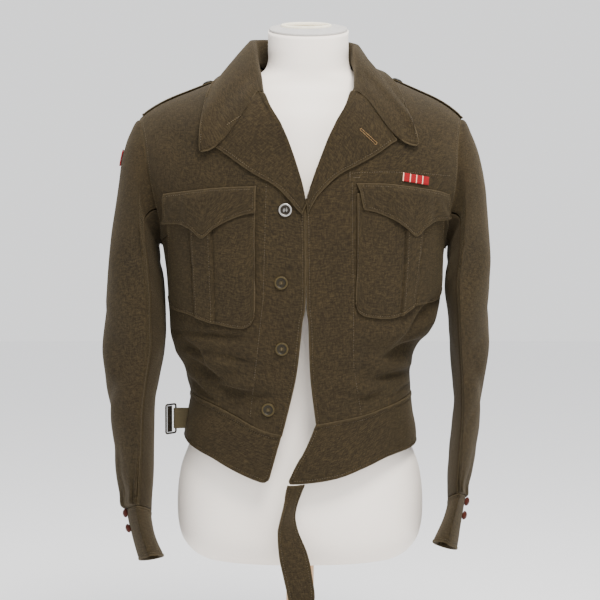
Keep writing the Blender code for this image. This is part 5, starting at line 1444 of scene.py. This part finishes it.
# straps, ribbon, flash
strapFacts = {"start": 0.2215, "end": 0.1225, "half": 0.0205, "shift": 0.010, "taper": 0.86,
              "tipStart": 0.86, "tip": 0.45, "lean": 0.3 * 0.0115}
hangingTable = Table(
    ("height", "leftX", "rightX", "leftY", "rightY"),
    ((0.1370, -0.0090, 0.0030, -0.1300, -0.1280), (0.1415, -0.0140, 0.0135, -0.1310, -0.1280),
     (0.1560, -0.0160, 0.0200, -0.1320, -0.1280), (0.1880, -0.0230, 0.0165, -0.1330, -0.1260),
     (0.2150, -0.0285, 0.0105, -0.1345, -0.1230), (0.2450, -0.0300, -0.0010, -0.1370, -0.1160),
     (0.2650, -0.0255, -0.0060, -0.1380, -0.1120), (0.2800, -0.0225, -0.0045, -0.1340, -0.1130),
     (0.2960, -0.0205, 0.0015, -0.1270, -0.1180), (0.3095, -0.0175, 0.0070, -0.1225, -0.1225)))


def strapSurface(side):
    facts = strapFacts

    def surface(u, v):
        away = mix(facts["start"], facts["end"], u)
        tipShare = smoothStep((u - facts["tipStart"]) / (1 - facts["tipStart"]))
        half = facts["half"] * mix(1.0, facts["tip"], tipShare) * mix(1.0, facts["taper"], u)
        run = facts["shift"] * u + half * (2 * v - 1)
        face = front if run < 0 else back
        angle = angleAt(side * away + facts["lean"], ridgeHeight(away))
        return clothPoint(face, angle, abs(run), trunk["strapGap"] + patchWall)
    return surface


def hangingSurface(u, v):
    heights = hangingTable.column("height")
    height = mix(heights[0], heights[-1], v)
    x = mix(hangingTable.at("leftX", height), hangingTable.at("rightX", height), u)
    y = mix(hangingTable.at("leftY", height), hangingTable.at("rightY", height), u)
    return Vector((x, y - 0.0015 * math.sin(math.pi * u), height))


ribbonFacts = {"middle": (0.1562, 0.7283), "size": (0.036, 0.0118), "tilt": math.radians(-4.0)}
flashFacts = {"turns": (-34.0, 14.0), "rows": (1.75, 2.32)}


def ribbonSurface(u, v):
    x, z = ribbonFacts["size"][0] * (u - 0.5), ribbonFacts["size"][1] * (v - 0.5)
    c, s = math.cos(ribbonFacts["tilt"]), math.sin(ribbonFacts["tilt"])
    across, height = ribbonFacts["middle"]
    return pointOnFront(across + x * c - z * s, height + z * c + x * s, restingGap + patchWall)


def sleeveNormal(side, turn, row):
    around = sleevePoint(side, turn + 1, row) - sleevePoint(side, turn - 1, row)
    down = sleevePoint(side, turn, row + 0.02) - sleevePoint(side, turn, row - 0.02)
    return around.cross(down).normalized() * side


def flashSurface(u, v):
    turn, row = mix(*flashFacts["turns"], u), mix(*flashFacts["rows"], 1 - v)
    out = sleeveNormal(right, turn, row)
    return sleevePoint(right, turn, row) + out * (restingGap + patchWall + 0.0006)


def makeStraps():
    for side, name in sideNames.items():
        grid = Grid(strapSurface(side), gridLines(0.101, 0.0030), gridLines(0.040, 0.0030), side == left)
        grid.push(welt(grid.fromBottom, 0.0036) + welt(grid.toTop, 0.0036) + welt(grid.toEnd, 0.0036)
                  + welt(grid.fromStart, 0.0036))
        makeCloth(f"shoulder_strap_{name}", grid, patchWall)
    grid = Grid(hangingSurface, gridLines(0.034, 0.0030), gridLines(0.175, 0.0034))
    grid.push(welt(grid.fromStart, 0.0040) + welt(grid.toEnd, 0.0040) + welt(grid.fromBottom, 0.0040)
              + 0.0008 * np.sin(grid.fromBottom * 90.0))
    grid.uneven(0.016, 0.0004, 31)
    makeCloth("waist_strap", grid, trunk["foldedWall"])


def makePatches():
    across, upward = [gridLines(length, 0.0012, steps=edgeSteps[:2]) for length in (0.036, 0.013)]
    grid = Grid(ribbonSurface, across, upward)
    grid.push(-0.0006 * (1 - smooth(grid.nearest() / 0.0010)))
    makeCloth("ribbon_bar", grid, patchWall, "ribbon_red",
              rubAndHighlight=grid.fromStart * 0)
    grid = Grid(flashSurface, gridLines(0.060, 0.0024), gridLines(0.030, 0.0024))
    rims = (grid.fromStart, grid.toEnd, grid.fromBottom, grid.toTop)
    grid.push(sum(welt(rim, 0.0018, 0.0002, 0.0004) for rim in rims))
    makeCloth("sleeve_flash_right", grid, patchWall, "flash_red",
              rubAndHighlight=grid.fromStart * 0)


makeFronts()
makeBack()
makeWaistband()
print("trunk and band made")
makeSleeves()
makeCuffs()
print("sleeves and cuffs made")
makePockets()
makeFlaps()
makeLapels()
makeCollar()
print("pockets, lapels and collar made")
makeStraps()
makePatches()
print("straps and patches made")


# places on a finished grid: rows and columns found from what is wanted there
def rowWhere(values, column, target):
    return float(np.interp(target, values[:, column], np.arange(values.shape[0])))


def columnWhere(values, row, target):
    line, steps = values[row], np.arange(values.shape[1])
    if line[0] > line[-1]:
        line, steps = line[::-1], steps[::-1]
    return float(np.interp(target, line, steps))


# A line of points beside one edge of a piece, which stops short of the two edges it runs to
def lineBeside(grid, edge, inset, trim=None, part=(0.0, 1.0)):
    trim = inset if trim is None else trim
    path = []
    if edge in ("bottom", "top"):
        for column in range(round(part[0] * (len(grid.u) - 1)), round(part[1] * (len(grid.u) - 1)) + 1):
            if edge == "bottom":
                row = rowWhere(grid.fromBottom, column, inset)
            else:
                row = rowWhere(-grid.toTop, column, -inset)
            near = min(grid.fromStart[int(row), column], grid.toEnd[int(row), column])
            if near >= trim:
                path.append(grid.at(row, column))
    else:
        for row in range(round(part[0] * (len(grid.v) - 1)), round(part[1] * (len(grid.v) - 1)) + 1):
            if edge == "start":
                column = columnWhere(grid.fromStart, row, inset)
            else:
                column = columnWhere(grid.toEnd, row, inset)
            near = min(grid.fromBottom[row, int(column)], grid.toTop[row, int(column)])
            if near >= trim:
                path.append(grid.at(row, column))
    return path


threadFacts = {"pitch": 0.0034, "length": 0.0025, "half": 0.00034, "rise": 0.00034}


def stitchesAlong(path, pitch=None, length=None, half=None):
    pitch, length = pitch or threadFacts["pitch"], length or threadFacts["length"]
    half = half or threadFacts["half"]
    if len(path) < 2:
        return []
    points = np.array([p for p, _ in path])
    normals = np.array([n for _, n in path])
    steps = np.linalg.norm(np.diff(points, axis=0), axis=1)
    way = np.concatenate(([0.0], np.cumsum(steps)))
    made = []
    start = pitch * 0.5
    while start + length < way[-1]:
        ends = []
        for place in (start, start + length / 2, start + length):
            ends.append(np.array([np.interp(place, way, points[:, k]) for k in range(3)]))
        normal = np.array([np.interp(start, way, normals[:, k]) for k in range(3)])
        normal /= max(np.linalg.norm(normal), 1e-9)
        made.append((ends, normal, half))
        start += pitch
    return made


def makeStitches(name, stitches, material="thread_tan"):
    verts, faces = [], []
    for (start, middle, end), normal, half in stitches:
        forward = end - start
        forward = forward / max(np.linalg.norm(forward), 1e-9)
        aside = np.cross(normal, forward)
        first = len(verts)
        verts += [start - normal * 0.0001, end - normal * 0.0001,
                  middle + aside * half, middle + normal * threadFacts["rise"],
                  middle - aside * half, middle - normal * 0.0002]
        for a, b in ((2, 3), (3, 4), (4, 5), (5, 2)):
            faces += [(first, first + a, first + b), (first + 1, first + b, first + a)]
    mesh = bpy.data.meshes.new(name)
    mesh.from_pydata([tuple(v) for v in verts], [], faces)
    mesh.uv_layers.new(name="weave")
    mesh.shade_smooth()
    piece = addObject(name, mesh)
    finishPiece(piece, material, mainBody)


# a point and normal of a front facing piece, straight behind a place seen from the front
def seenOn(name, x, z):
    grid = grids[name]
    if not hasattr(grid, "tree"):
        mesh = grid.piece.data
        grid.tree = BVHTree.FromPolygons([v.co for v in mesh.vertices], [f.vertices for f in mesh.polygons])
    hit, normal, _, _ = grid.tree.ray_cast(Vector((x, -1.0, z)), Vector((0, 1, 0)))
    if hit is None:
        return None
    if normal.y > 0:
        normal = -normal
    return np.array(hit), np.array(normal)


def lineSeen(name, places, spacing=0.002):
    path = []
    for (x0, z0), (x1, z1) in zip(places, places[1:]):
        count = max(int(math.hypot(x1 - x0, z1 - z0) / spacing), 1)
        for k in range(count):
            found = seenOn(name, mix(x0, x1, k / count), mix(z0, z1, k / count))
            if found:
                path.append(found)
    return path


# The edges of each piece that are stitched: edge, how far in, what stays free at its ends, and
# which part of it
armholePart, chestPart = (0.56, 1.0), (0.80, 1.0)
edgeLines = {
    "pocket": (("start", 0.0030), ("end", 0.0030), ("bottom", 0.0034, 0.008)),
    "flap": (("bottom", 0.0050), ("top", 0.0045), ("start", 0.0040), ("end", 0.0040)),
    "cuff": (("bottom", 0.0046), ("top", 0.0040), ("end", 0.0044)),
    "strap": (("bottom", 0.0038), ("top", 0.0038), ("end", 0.0038)),
    "collar": (("top", 0.0046, 0.008), ("start", 0.0046, None, chestPart), ("end", 0.0046, None, chestPart)),
    "waistband": (("top", 0.0066), ("bottom", 0.0050), ("start", 0.0046), ("end", 0.0046)),
    "waist_strap": (("start", 0.0042), ("end", 0.0042), ("bottom", 0.0042)),
    "back": (("start", 0.0058, None, armholePart), ("end", 0.0058, None, armholePart)),
}
chestSeam = ((0.067, 0.7305), (0.110, 0.7325), (0.160, 0.7310), (0.207, 0.7270))
pleatInset = 0.0034


def stitchesBeside(grid, lines):
    made = []
    for line in lines:
        made += stitchesAlong(lineBeside(grid, *line))
    return made


def pleatStitches(grid, side):
    made = []
    order = np.argsort(grid.u)
    for place in (-1, 1):
        path = []
        for row, v in enumerate(grid.v):
            middle, half = pleatAt(side, v)
            away = middle + place * (half - pleatInset)
            path.append(grid.at(row, float(np.interp(away, grid.u[order], order.astype(float)))))
        made += stitchesAlong(path)
    return made


def makeTopstitching():
    for side, name in sideNames.items():
        grid = grids[f"front_{name}"]
        inner, outer = ("start", "end") if side == left else ("end", "start")
        made = stitchesBeside(grid, ((inner, 0.0046),))
        strip = [(placketX(side, z), z) for z in np.linspace(0.400, 0.722, 60)]
        made += stitchesAlong(lineSeen(f"front_{name}", strip))
        made += stitchesBeside(grid, ((outer, 0.0058, None, armholePart),))
        if side == left:
            made += stitchesAlong(lineSeen("front_left", chestSeam))
        makeStitches(f"stitches_front_{name}", made)

        pocket = grids[f"pocket_{name}"]
        made = stitchesBeside(pocket, edgeLines["pocket"]) + pleatStitches(pocket, side)
        makeStitches(f"stitches_pocket_{name}", made)
        makeStitches(f"stitches_flap_{name}", stitchesBeside(grids[f"flap_{name}"], edgeLines["flap"]))

        topPart = (0.76, 1.0) if side == left else (0.0, 0.2)
        lines = ((outer, 0.0046), ("top", 0.0100, None, topPart))
        makeStitches(f"stitches_lapel_{name}", stitchesBeside(grids[f"lapel_{name}"], lines))
        for kind, piece in (("cuff", f"cuff_{name}"), ("strap", f"shoulder_strap_{name}")):
            makeStitches(f"stitches_{kind}_{name}", stitchesBeside(grids[piece], edgeLines[kind]))

    # the collar's surface is its inner face, so its stitches go through to the other one
    made = []
    for line in edgeLines["collar"]:
        path = lineBeside(grids["collar"], *line)
        made += stitchesAlong([(point - normal * trunk["bodyWall"], -normal) for point, normal in path])
    makeStitches("stitches_collar", made)
    for piece in ("waistband", "waist_strap", "back"):
        makeStitches(f"stitches_{piece}", stitchesBeside(grids[piece], edgeLines[piece]))


# The worked buttonhole of the wearer's left lapel, tacks at the pockets and marks on the collar
def makeHandStitches():
    gold = []
    start, eye = Vector((0.0815, 0.7890)), Vector((0.1010, 0.7712))
    way = (eye - start).normalized()
    across = Vector((-way.y, way.x))
    half, eyeRadius, inside = 0.0013, 0.0020, 0.0018
    length = (eye - start).length - inside

    def around(centre, radius, degrees, sign):
        turn = math.radians(degrees)
        return centre + across * radius * math.cos(turn) + way * (sign * radius) * math.sin(turn)

    outline = [around(start, half, a, -1) for a in range(180, -1, -30)]
    outline += [start + way * (length * k / 20) + across * half for k in range(1, 21)]
    outline += [around(eye, eyeRadius, a, 1) for a in range(20, 181, 16)]
    outline += [start + way * (length * k / 20) - across * half for k in range(20, 0, -1)]
    for before, after in zip(outline, outline[1:] + outline[:1]):
        steps = max(int((after - before).length / 0.0006), 1)
        forward = (after - before).normalized()
        outward = Vector((-forward.y, forward.x))
        for k in range(steps):
            centre = before.lerp(after, k / steps)
            hits = [seenOn("lapel_left", *(centre + outward * far)) for far in (-0.00036, 0.0, 0.00036)]
            if all(hits):
                gold.append(([h[0] for h in hits], hits[1][1], 0.00030))
    makeStitches("buttonhole_left", gold, "thread_gold")

    tacks = []
    for x0, z0, x1, z1 in ((0.0668, 0.7200, 0.0668, 0.7340), (0.0700, 0.7250, 0.0820, 0.7250)):
        path = lineSeen("front_left", [(x0, z0), (x1, z1)], 0.0008)
        tacks += stitchesAlong(path, 0.0012, 0.0016, 0.00052)
    makeStitches("pocket_tacks", tacks)

    marks = []
    for line in (((-0.0992, 0.7947), (-0.0738, 0.8115)), ((-0.0872, 0.7927), (-0.0711, 0.8081)),
                 ((-0.0684, 0.8141), (-0.0603, 0.8188))):
        marks += stitchesAlong(lineSeen("collar", line, 0.001), 0.0030, 0.0022, 0.00038)
    makeStitches("collar_marks", marks, "thread_pale")


makeTopstitching()
makeHandStitches()
print("stitching made")


# The form under the jacket: half width, front and back depth and middle at each height
formTable = Table(
    ("height", "half", "front", "back", "lean"),
    ((0.1900, 0.116, 0.060, 0.064, 0.000), (0.1935, 0.133, 0.072, 0.077, 0.000),
     (0.2050, 0.152, 0.084, 0.090, 0.000), (0.2280, 0.167, 0.093, 0.101, 0.000),
     (0.2700, 0.172, 0.097, 0.106, 0.000), (0.3200, 0.167, 0.095, 0.104, 0.000),
     (0.3620, 0.152, 0.092, 0.096, 0.000), (0.4050, 0.140, 0.090, 0.088, 0.001),
     (0.4600, 0.140, 0.094, 0.088, 0.002), (0.5300, 0.152, 0.106, 0.096, 0.004),
     (0.6000, 0.166, 0.118, 0.103, 0.006), (0.6600, 0.175, 0.119, 0.107, 0.008),
     (0.7200, 0.182, 0.112, 0.108, 0.009), (0.7700, 0.187, 0.098, 0.104, 0.006),
     (0.8050, 0.188, 0.086, 0.094, 0.0045), (0.8266, 0.184, 0.073, 0.076, 0.0045),
     (0.8418, 0.155, 0.064, 0.066, 0.0065), (0.8552, 0.117, 0.055, 0.052, 0.0085),
     (0.8680, 0.070, 0.052, 0.049, 0.0105), (0.8810, 0.0575, 0.052, 0.050, 0.0115),
     (0.9050, 0.056, 0.052, 0.051, 0.0115), (0.9290, 0.056, 0.052, 0.052, 0.0115)))
formFacts = {
    "roundness": 2.15, "slant": 0.23, "slantStart": 0.885, "neckTop": 0.929, "bottom": 0.190,
    "spokes": 120, "rings": 110, "girth": 0.98, "capHalf": (0.0545, 0.0510), "capThickness": 0.003,
    "holeHalf": (0.034, 0.020), "holePlace": (-0.003, 0.018, 0.0), "rimWire": 0.0023,
    "rimInset": 0.0006, "rimHeight": 1.3,
}


def formPoint(turn, height):
    half = formTable.at("half", height)
    deep = formTable.at("front" if math.sin(turn) < 0 else "back", height)
    power = 2 / formFacts["roundness"]
    across = math.copysign(abs(math.cos(turn)) ** power, math.cos(turn))
    forward = math.copysign(abs(math.sin(turn)) ** power, math.sin(turn))
    return Vector((half * across + formTable.at("lean", height), deep * forward, height))


def slanted(point):
    facts = formFacts
    high = smoothStep((point.z - facts["slantStart"]) / (facts["neckTop"] - facts["slantStart"]))
    return Vector((point.x, point.y, point.z + facts["slant"] * point.y * high))


def startPiece(add, **settings):
    bpy.ops.object.select_all(action="DESELECT")
    add(**settings)
    return bpy.context.object


def addCylinder(vertices, radius, depth, location=(0.0, 0.0, 0.0), rotation=(0.0, 0.0, 0.0)):
    return startPiece(bpy.ops.mesh.primitive_cylinder_add, vertices=vertices, radius=radius, depth=depth,
                      location=location, rotation=rotation)


def applyAll(piece):
    bpy.ops.object.select_all(action="DESELECT")
    piece.select_set(True)
    bpy.context.view_layer.objects.active = piece
    for modifier in list(piece.modifiers):
        bpy.ops.object.modifier_apply(modifier=modifier.name)


# Bakes an object's place into its mesh, so that it stands at the origin
def settle(piece, matrix=None):
    piece.data.transform((matrix or Matrix()) @ piece.matrix_basis)
    piece.matrix_basis = Matrix()
    piece.data.update()


def rounded(piece, width, segments=3, angle=35.0):
    bevel = piece.modifiers.new("bevel", "BEVEL")
    bevel.width, bevel.segments = width, segments
    bevel.limit_method, bevel.angle_limit = "ANGLE", math.radians(angle)
    applyAll(piece)
    piece.data.shade_smooth()


def cutHole(piece, hole):
    cut = piece.modifiers.new("hole", "BOOLEAN")
    cut.operation, cut.object = "DIFFERENCE", hole
    applyAll(piece)
    bpy.data.objects.remove(hole, do_unlink=True)


# Insets the faces that look up, again and again: how far in and how high each time
def insetTop(piece, steps):
    bpy.ops.object.mode_set(mode="EDIT")
    bpy.ops.mesh.select_all(action="DESELECT")
    bpy.ops.object.mode_set(mode="OBJECT")
    for face in piece.data.polygons:
        face.select = face.normal.z > 0.9
    bpy.ops.object.mode_set(mode="EDIT")
    for thickness, depth in steps:
        bpy.ops.mesh.inset(thickness=thickness, depth=depth)
    bpy.ops.object.mode_set(mode="OBJECT")


def makeForm():
    facts = formFacts
    heights = formTable.column("height")
    piece = startPiece(bpy.ops.mesh.primitive_uv_sphere_add, segments=facts["spokes"],
                       ring_count=facts["rings"])
    piece.name = "form_torso"
    last = facts["rings"] - 1
    for vert in piece.data.vertices:
        latitude = math.asin(max(min(vert.co.z, 1.0), -1.0)) / math.pi + 0.5
        ring = round(latitude * facts["rings"])
        turn = math.atan2(vert.co.y, vert.co.x)
        if ring == 0:
            vert.co = Vector((0.0, 0.0, facts["bottom"]))
        elif ring == facts["rings"]:
            vert.co = slanted(Vector((neckLean, 0.0, facts["neckTop"])))
        else:
            place = (ring - 1) / (last - 1) * (len(heights) - 1)
            height = float(np.interp(place, np.arange(len(heights)), heights))
            vert.co = slanted(formPoint(turn, height))
    for corner in piece.data.uv_layers.active.data:
        corner.uv = (corner.uv[0] * facts["girth"], corner.uv[1] * 0.80)
    piece.data.shade_smooth()
    finishPiece(piece, "form_calico", mainBody, ("form_torso",))


def makeNeckCap():
    facts = formFacts
    middle = slanted(Vector((neckLean, 0.0, facts["neckTop"])))
    middle.z += restingGap + facts["capThickness"] / 2
    tilt = Matrix.Rotation(math.atan(facts["slant"]), 4, "X")
    cap = addCylinder(96, 1.0, 1.0)
    cap.name = "form_neck_cap"
    cap.scale = (*facts["capHalf"], facts["capThickness"])
    settle(cap)
    hole = addCylinder(72, 1.0, 1.0, facts["holePlace"])
    hole.scale = (*facts["holeHalf"], 4 * facts["capThickness"])
    cutHole(cap, hole)
    rounded(cap, 0.0009)
    settle(cap, Matrix.Translation(middle) @ tilt)
    finishPiece(cap, "cap_grey", mainBody, ("form_neck_cap",))
    rim = startPiece(bpy.ops.mesh.primitive_torus_add, major_segments=96, minor_segments=16, major_radius=1.0,
                     minor_radius=facts["rimWire"], location=(0, 0, 0))
    rim.name = "neck_hole_rim"
    halfX, halfY = facts["holeHalf"]
    for vert in rim.data.vertices:
        spoke = Vector((vert.co.x, vert.co.y, 0.0))
        out = spoke.length - 1.0 - facts["rimInset"]
        spoke.normalize()
        height = vert.co.z * facts["rimHeight"] + facts["capThickness"] / 2
        vert.co = Vector((spoke.x * (halfX + out), spoke.y * (halfY + out), height))
    settle(rim, Matrix.Translation(middle) @ tilt @ Matrix.Translation(facts["holePlace"]))
    rim.data.shade_smooth()
    finishPiece(rim, "cap_rim", mainBody)


standFacts = {"baseRadius": 0.150, "baseHeight": 0.014, "poleRadius": 0.0195}


def makeStand():
    facts = standFacts
    low, high = facts["baseHeight"] + restingGap, formFacts["bottom"] - restingGap
    pole = addCylinder(96, facts["poleRadius"], high - low, (0, 0, (high + low) / 2))
    pole.name = "stand_pole"
    rounded(pole, 0.0012)
    settle(pole)
    finishPiece(pole, "pole_wood", mainBody, ("stand_pole",))
    base = addCylinder(128, facts["baseRadius"], facts["baseHeight"], (0, 0, facts["baseHeight"] / 2))
    base.name = "stand_base"
    insetTop(base, ((0.010, 0.0), (0.004, -0.0008)))
    rounded(base, 0.0030, 5, 40.0)
    settle(base)
    finishPiece(base, "base_paint", mainBody, ("stand_base",))


makeForm()
makeNeckCap()
makeStand()
print("form, cap and stand made")

# radius, thickness, dome, style
buttonKinds = {
    "front": (0.0088, 0.0022, 0.0009, "dished"),
    "cuff": (0.0062, 0.0018, 0.0026, "domed"),
    "strap": (0.0075, 0.0022, 0.0012, "domed"),
}
# the front buttons' x and z, the holes' radius and half spacing, the thread's radius and length,
# and each raised or sunk ring of a dished button as shares of its radius and its dome
frontButtons = ((-0.0197, 0.6815), (-0.0251, 0.5840), (-0.0242, 0.4950), (-0.0427, 0.4120))
holeFacts = (0.0010, 0.0019)
cordFacts = (0.00055, 0.0046)
dishSteps = ((0.07, 0.30), (0.10, 0.15), (0.10, -0.45), (0.08, -0.95), (0.20, -0.15))


def makeButton(name, kind, point, normal, material, thread):
    radius, thickness, dome, style = buttonKinds[kind]
    place = Matrix.Translation(Vector(point)) @ Vector(normal).to_track_quat("Z", "Y").to_matrix().to_4x4()
    if style == "domed":
        piece = startPiece(bpy.ops.mesh.primitive_uv_sphere_add, segments=48, ring_count=24, radius=1.0)
        under = 0.35 * thickness
        for vert in piece.data.vertices:
            reach = thickness + dome - under if vert.co.z > 0 else under
            vert.co = Vector((vert.co.x * radius, vert.co.y * radius, reach * vert.co.z + under))
    else:
        piece = addCylinder(64, radius, thickness, (0, 0, thickness / 2))
        settle(piece)
        insetTop(piece, [(inset * radius, depth * dome) for inset, depth in dishSteps])
        for sign in (-1, 1):
            cutHole(piece, addCylinder(20, holeFacts[0], 0.02, (0.0, sign * holeFacts[1], 0.0)))
        rounded(piece, 0.00025, 2, 40.0)
    piece.name = name
    # the sunk ring of a dished button's well is marked for painted shade
    wellShade = piece.data.attributes.new("wellShade", "FLOAT", "POINT")
    for vert, mark in zip(piece.data.vertices, wellShade.data):
        share = math.hypot(vert.co.x, vert.co.y) / radius
        mark.value = 1.0 if style == "dished" and 0.30 < share < 0.74 else 0.0
    piece.data.shade_smooth()
    settle(piece, place)
    finishPiece(piece, material, mainBody, (name,))
    if style == "dished":
        cord = addCylinder(16, *cordFacts, (0, 0, thickness + 0.0002), (math.pi / 2, 0, 0))
        cord.name = name + "_thread"
        rounded(cord, 0.0004, 3, 40.0)
        settle(cord, place)
        finishPiece(cord, thread, mainBody)


def makeButtons():
    for number, (across, height) in enumerate(frontButtons, 1):
        metal, thread = ("button_silver", "thread_dark") if number == 1 else ("button_brass", "thread_tan")
        point, normal = seenOn("front_right", across, height)
        makeButton(f"front_button_{number}", "front", point + normal * 0.0003, normal, metal, thread)
    for side, name in sideNames.items():
        surface = cuffSurface(side)
        u = (cuffFacts["buttonTurn"] + 360.0 - cuffFacts["start"]) / (360.0 + cuffFacts["overlap"])
        for number, down in enumerate(cuffFacts["buttonSteps"][side], 1):
            point = surface(u, 1 - down)
            around = surface(u + 0.01, 1 - down) - surface(u - 0.01, 1 - down)
            along = surface(u, 1 - down - 0.05) - surface(u, 1 - down + 0.05)
            normal = (around.cross(along) * side).normalized()
            leaning = (normal + cuffFacts["buttonLean"]).normalized()
            point = point + normal * cuffFacts["buttonLift"]
            makeButton(f"cuff_button_{name}_{number}", "cuff", point, leaning, "button_brown",
                       None)
        away = strapFacts["end"] + 1.2 * buttonKinds["strap"][0]
        angle = angleAt(side * away + strapFacts["lean"], ridgeHeight(away))
        lift = trunk["strapGap"] + patchWall + restingGap
        run = strapFacts["shift"] * 0.9
        makeButton(f"strap_button_{name}", "strap", clothPoint(back, angle, run, lift),
                   bodyNormal(back, angle, run), "button_dark", None)


buckleFacts = {
    "axis": (-0.1730, -0.0220, 0.3905), "height": 0.040, "width": 0.022, "wire": 0.0013, "corner": 0.003,
    "swing": math.radians(55.0), "plateWidth": 0.0100, "plateThickness": 0.0012, "platePlace": 0.62,
    "tabWall": 0.0013, "tabHeight": 0.028, "tabClearance": 0.0006, "rootShare": 0.994,
    "rootGap": 0.0001, "leg": 0.3, "teeth": 4, "toothLength": 0.0046,
}


buckleOut = Vector((-1.0, -0.25, 0.0)).normalized()


def bandSide(height):
    out = buckleOut
    surfaceX = -reachAt(right, height) * buckleFacts["rootShare"] - buckleFacts["rootGap"]
    length = (buckleFacts["axis"][0] - surfaceX) / out.x
    return Vector((surfaceX, buckleFacts["axis"][1] - out.y * length, height))


def tabSurface(u, v):
    facts = buckleFacts
    radius = facts["wire"] + facts["tabClearance"]
    height = facts["axis"][2] + facts["tabHeight"] * (v - 0.5)
    out = buckleOut
    aside = Vector((-out.y, out.x, 0.0))
    bar = Vector((facts["axis"][0], facts["axis"][1], height))
    halfTurn = (u - facts["leg"]) / (1 - 2 * facts["leg"])
    if halfTurn < 0:
        return (bandSide(height) - aside * radius).lerp(bar - aside * radius, u / facts["leg"])
    if halfTurn > 1:
        return (bandSide(height) + aside * radius).lerp(bar + aside * radius, (1 - u) / facts["leg"])
    turn = math.pi * halfTurn
    return bar - aside * radius * math.cos(turn) + out * radius * math.sin(turn)


def makeBuckle():
    facts = buckleFacts
    place = Matrix.Translation(facts["axis"]) @ Matrix.Rotation(facts["swing"], 4, "Z")
    across = sorted(set(shares(44)) | {0.3, 0.7})
    tab = Grid(tabSurface, across, gridLines(facts["tabHeight"], 0.0022), True)
    tab.push(0.0002 * np.cos(tab.fromBottom * 2 * np.pi / 0.0035))
    makeCloth("buckle_tab", tab, facts["tabWall"], "khaki_tape",
              rubAndHighlight=tab.fromStart * 0)

    half = facts["height"] / 2
    corner = facts["corner"]
    centres = ((-corner, half - corner, 0.0), (-facts["width"] + corner, half - corner, 90.0),
               (-facts["width"] + corner, -half + corner, 180.0), (-corner, -half + corner, 270.0))
    points = []
    for x, z, start in centres:
        for step in range(7):
            angle = math.radians(start + 15.0 * step)
            points.append((x + corner * math.cos(angle), 0.0, z + corner * math.sin(angle)))
    curve = bpy.data.curves.new("buckle_frame", "CURVE")
    curve.dimensions, curve.bevel_depth, curve.bevel_resolution = "3D", facts["wire"], 5
    spline = curve.splines.new("POLY")
    spline.points.add(len(points) - 1)
    for knot, point in zip(spline.points, points):
        knot.co = (*point, 1.0)
    spline.use_cyclic_u = True
    frameWire = addObject("buckle_frame", curve)
    bpy.ops.object.select_all(action="DESELECT")
    frameWire.select_set(True)
    bpy.context.view_layer.objects.active = frameWire
    bpy.ops.object.convert(target="MESH")
    frameWire = bpy.context.object
    frameWire.data.shade_smooth()
    settle(frameWire, place)
    finishPiece(frameWire, "buckle_metal", buckleBody, ("buckle_frame",))

    tall = facts["height"] - 2 * facts["wire"] - 2 * restingGap
    plateX = -facts["platePlace"] * facts["width"]
    plate = startPiece(bpy.ops.mesh.primitive_cube_add, size=1.0, location=(plateX, 0, 0))
    plate.name = "buckle_plate"
    plate.scale = (facts["plateWidth"], facts["plateThickness"], tall)
    settle(plate)
    rounded(plate, 0.0004)
    settle(plate, place)
    finishPiece(plate, "buckle_metal", buckleBody, ("buckle_plate",))
    for k in range(facts["teeth"]):
        height = tall * ((k + 0.5) / facts["teeth"] - 0.5)
        tooth = startPiece(bpy.ops.mesh.primitive_cone_add, vertices=20, radius1=0.0011, radius2=0.0003,
                           depth=facts["toothLength"], rotation=(math.pi / 2, 0, 0),
                           location=(plateX, -facts["toothLength"] / 2, height))
        tooth.name = f"buckle_tooth_{k + 1}"
        rounded(tooth, 0.0002, 2, 40.0)
        settle(tooth, place)
        finishPiece(tooth, "buckle_metal", buckleBody)


makeButtons()
makeBuckle()
print("buttons and buckle made")
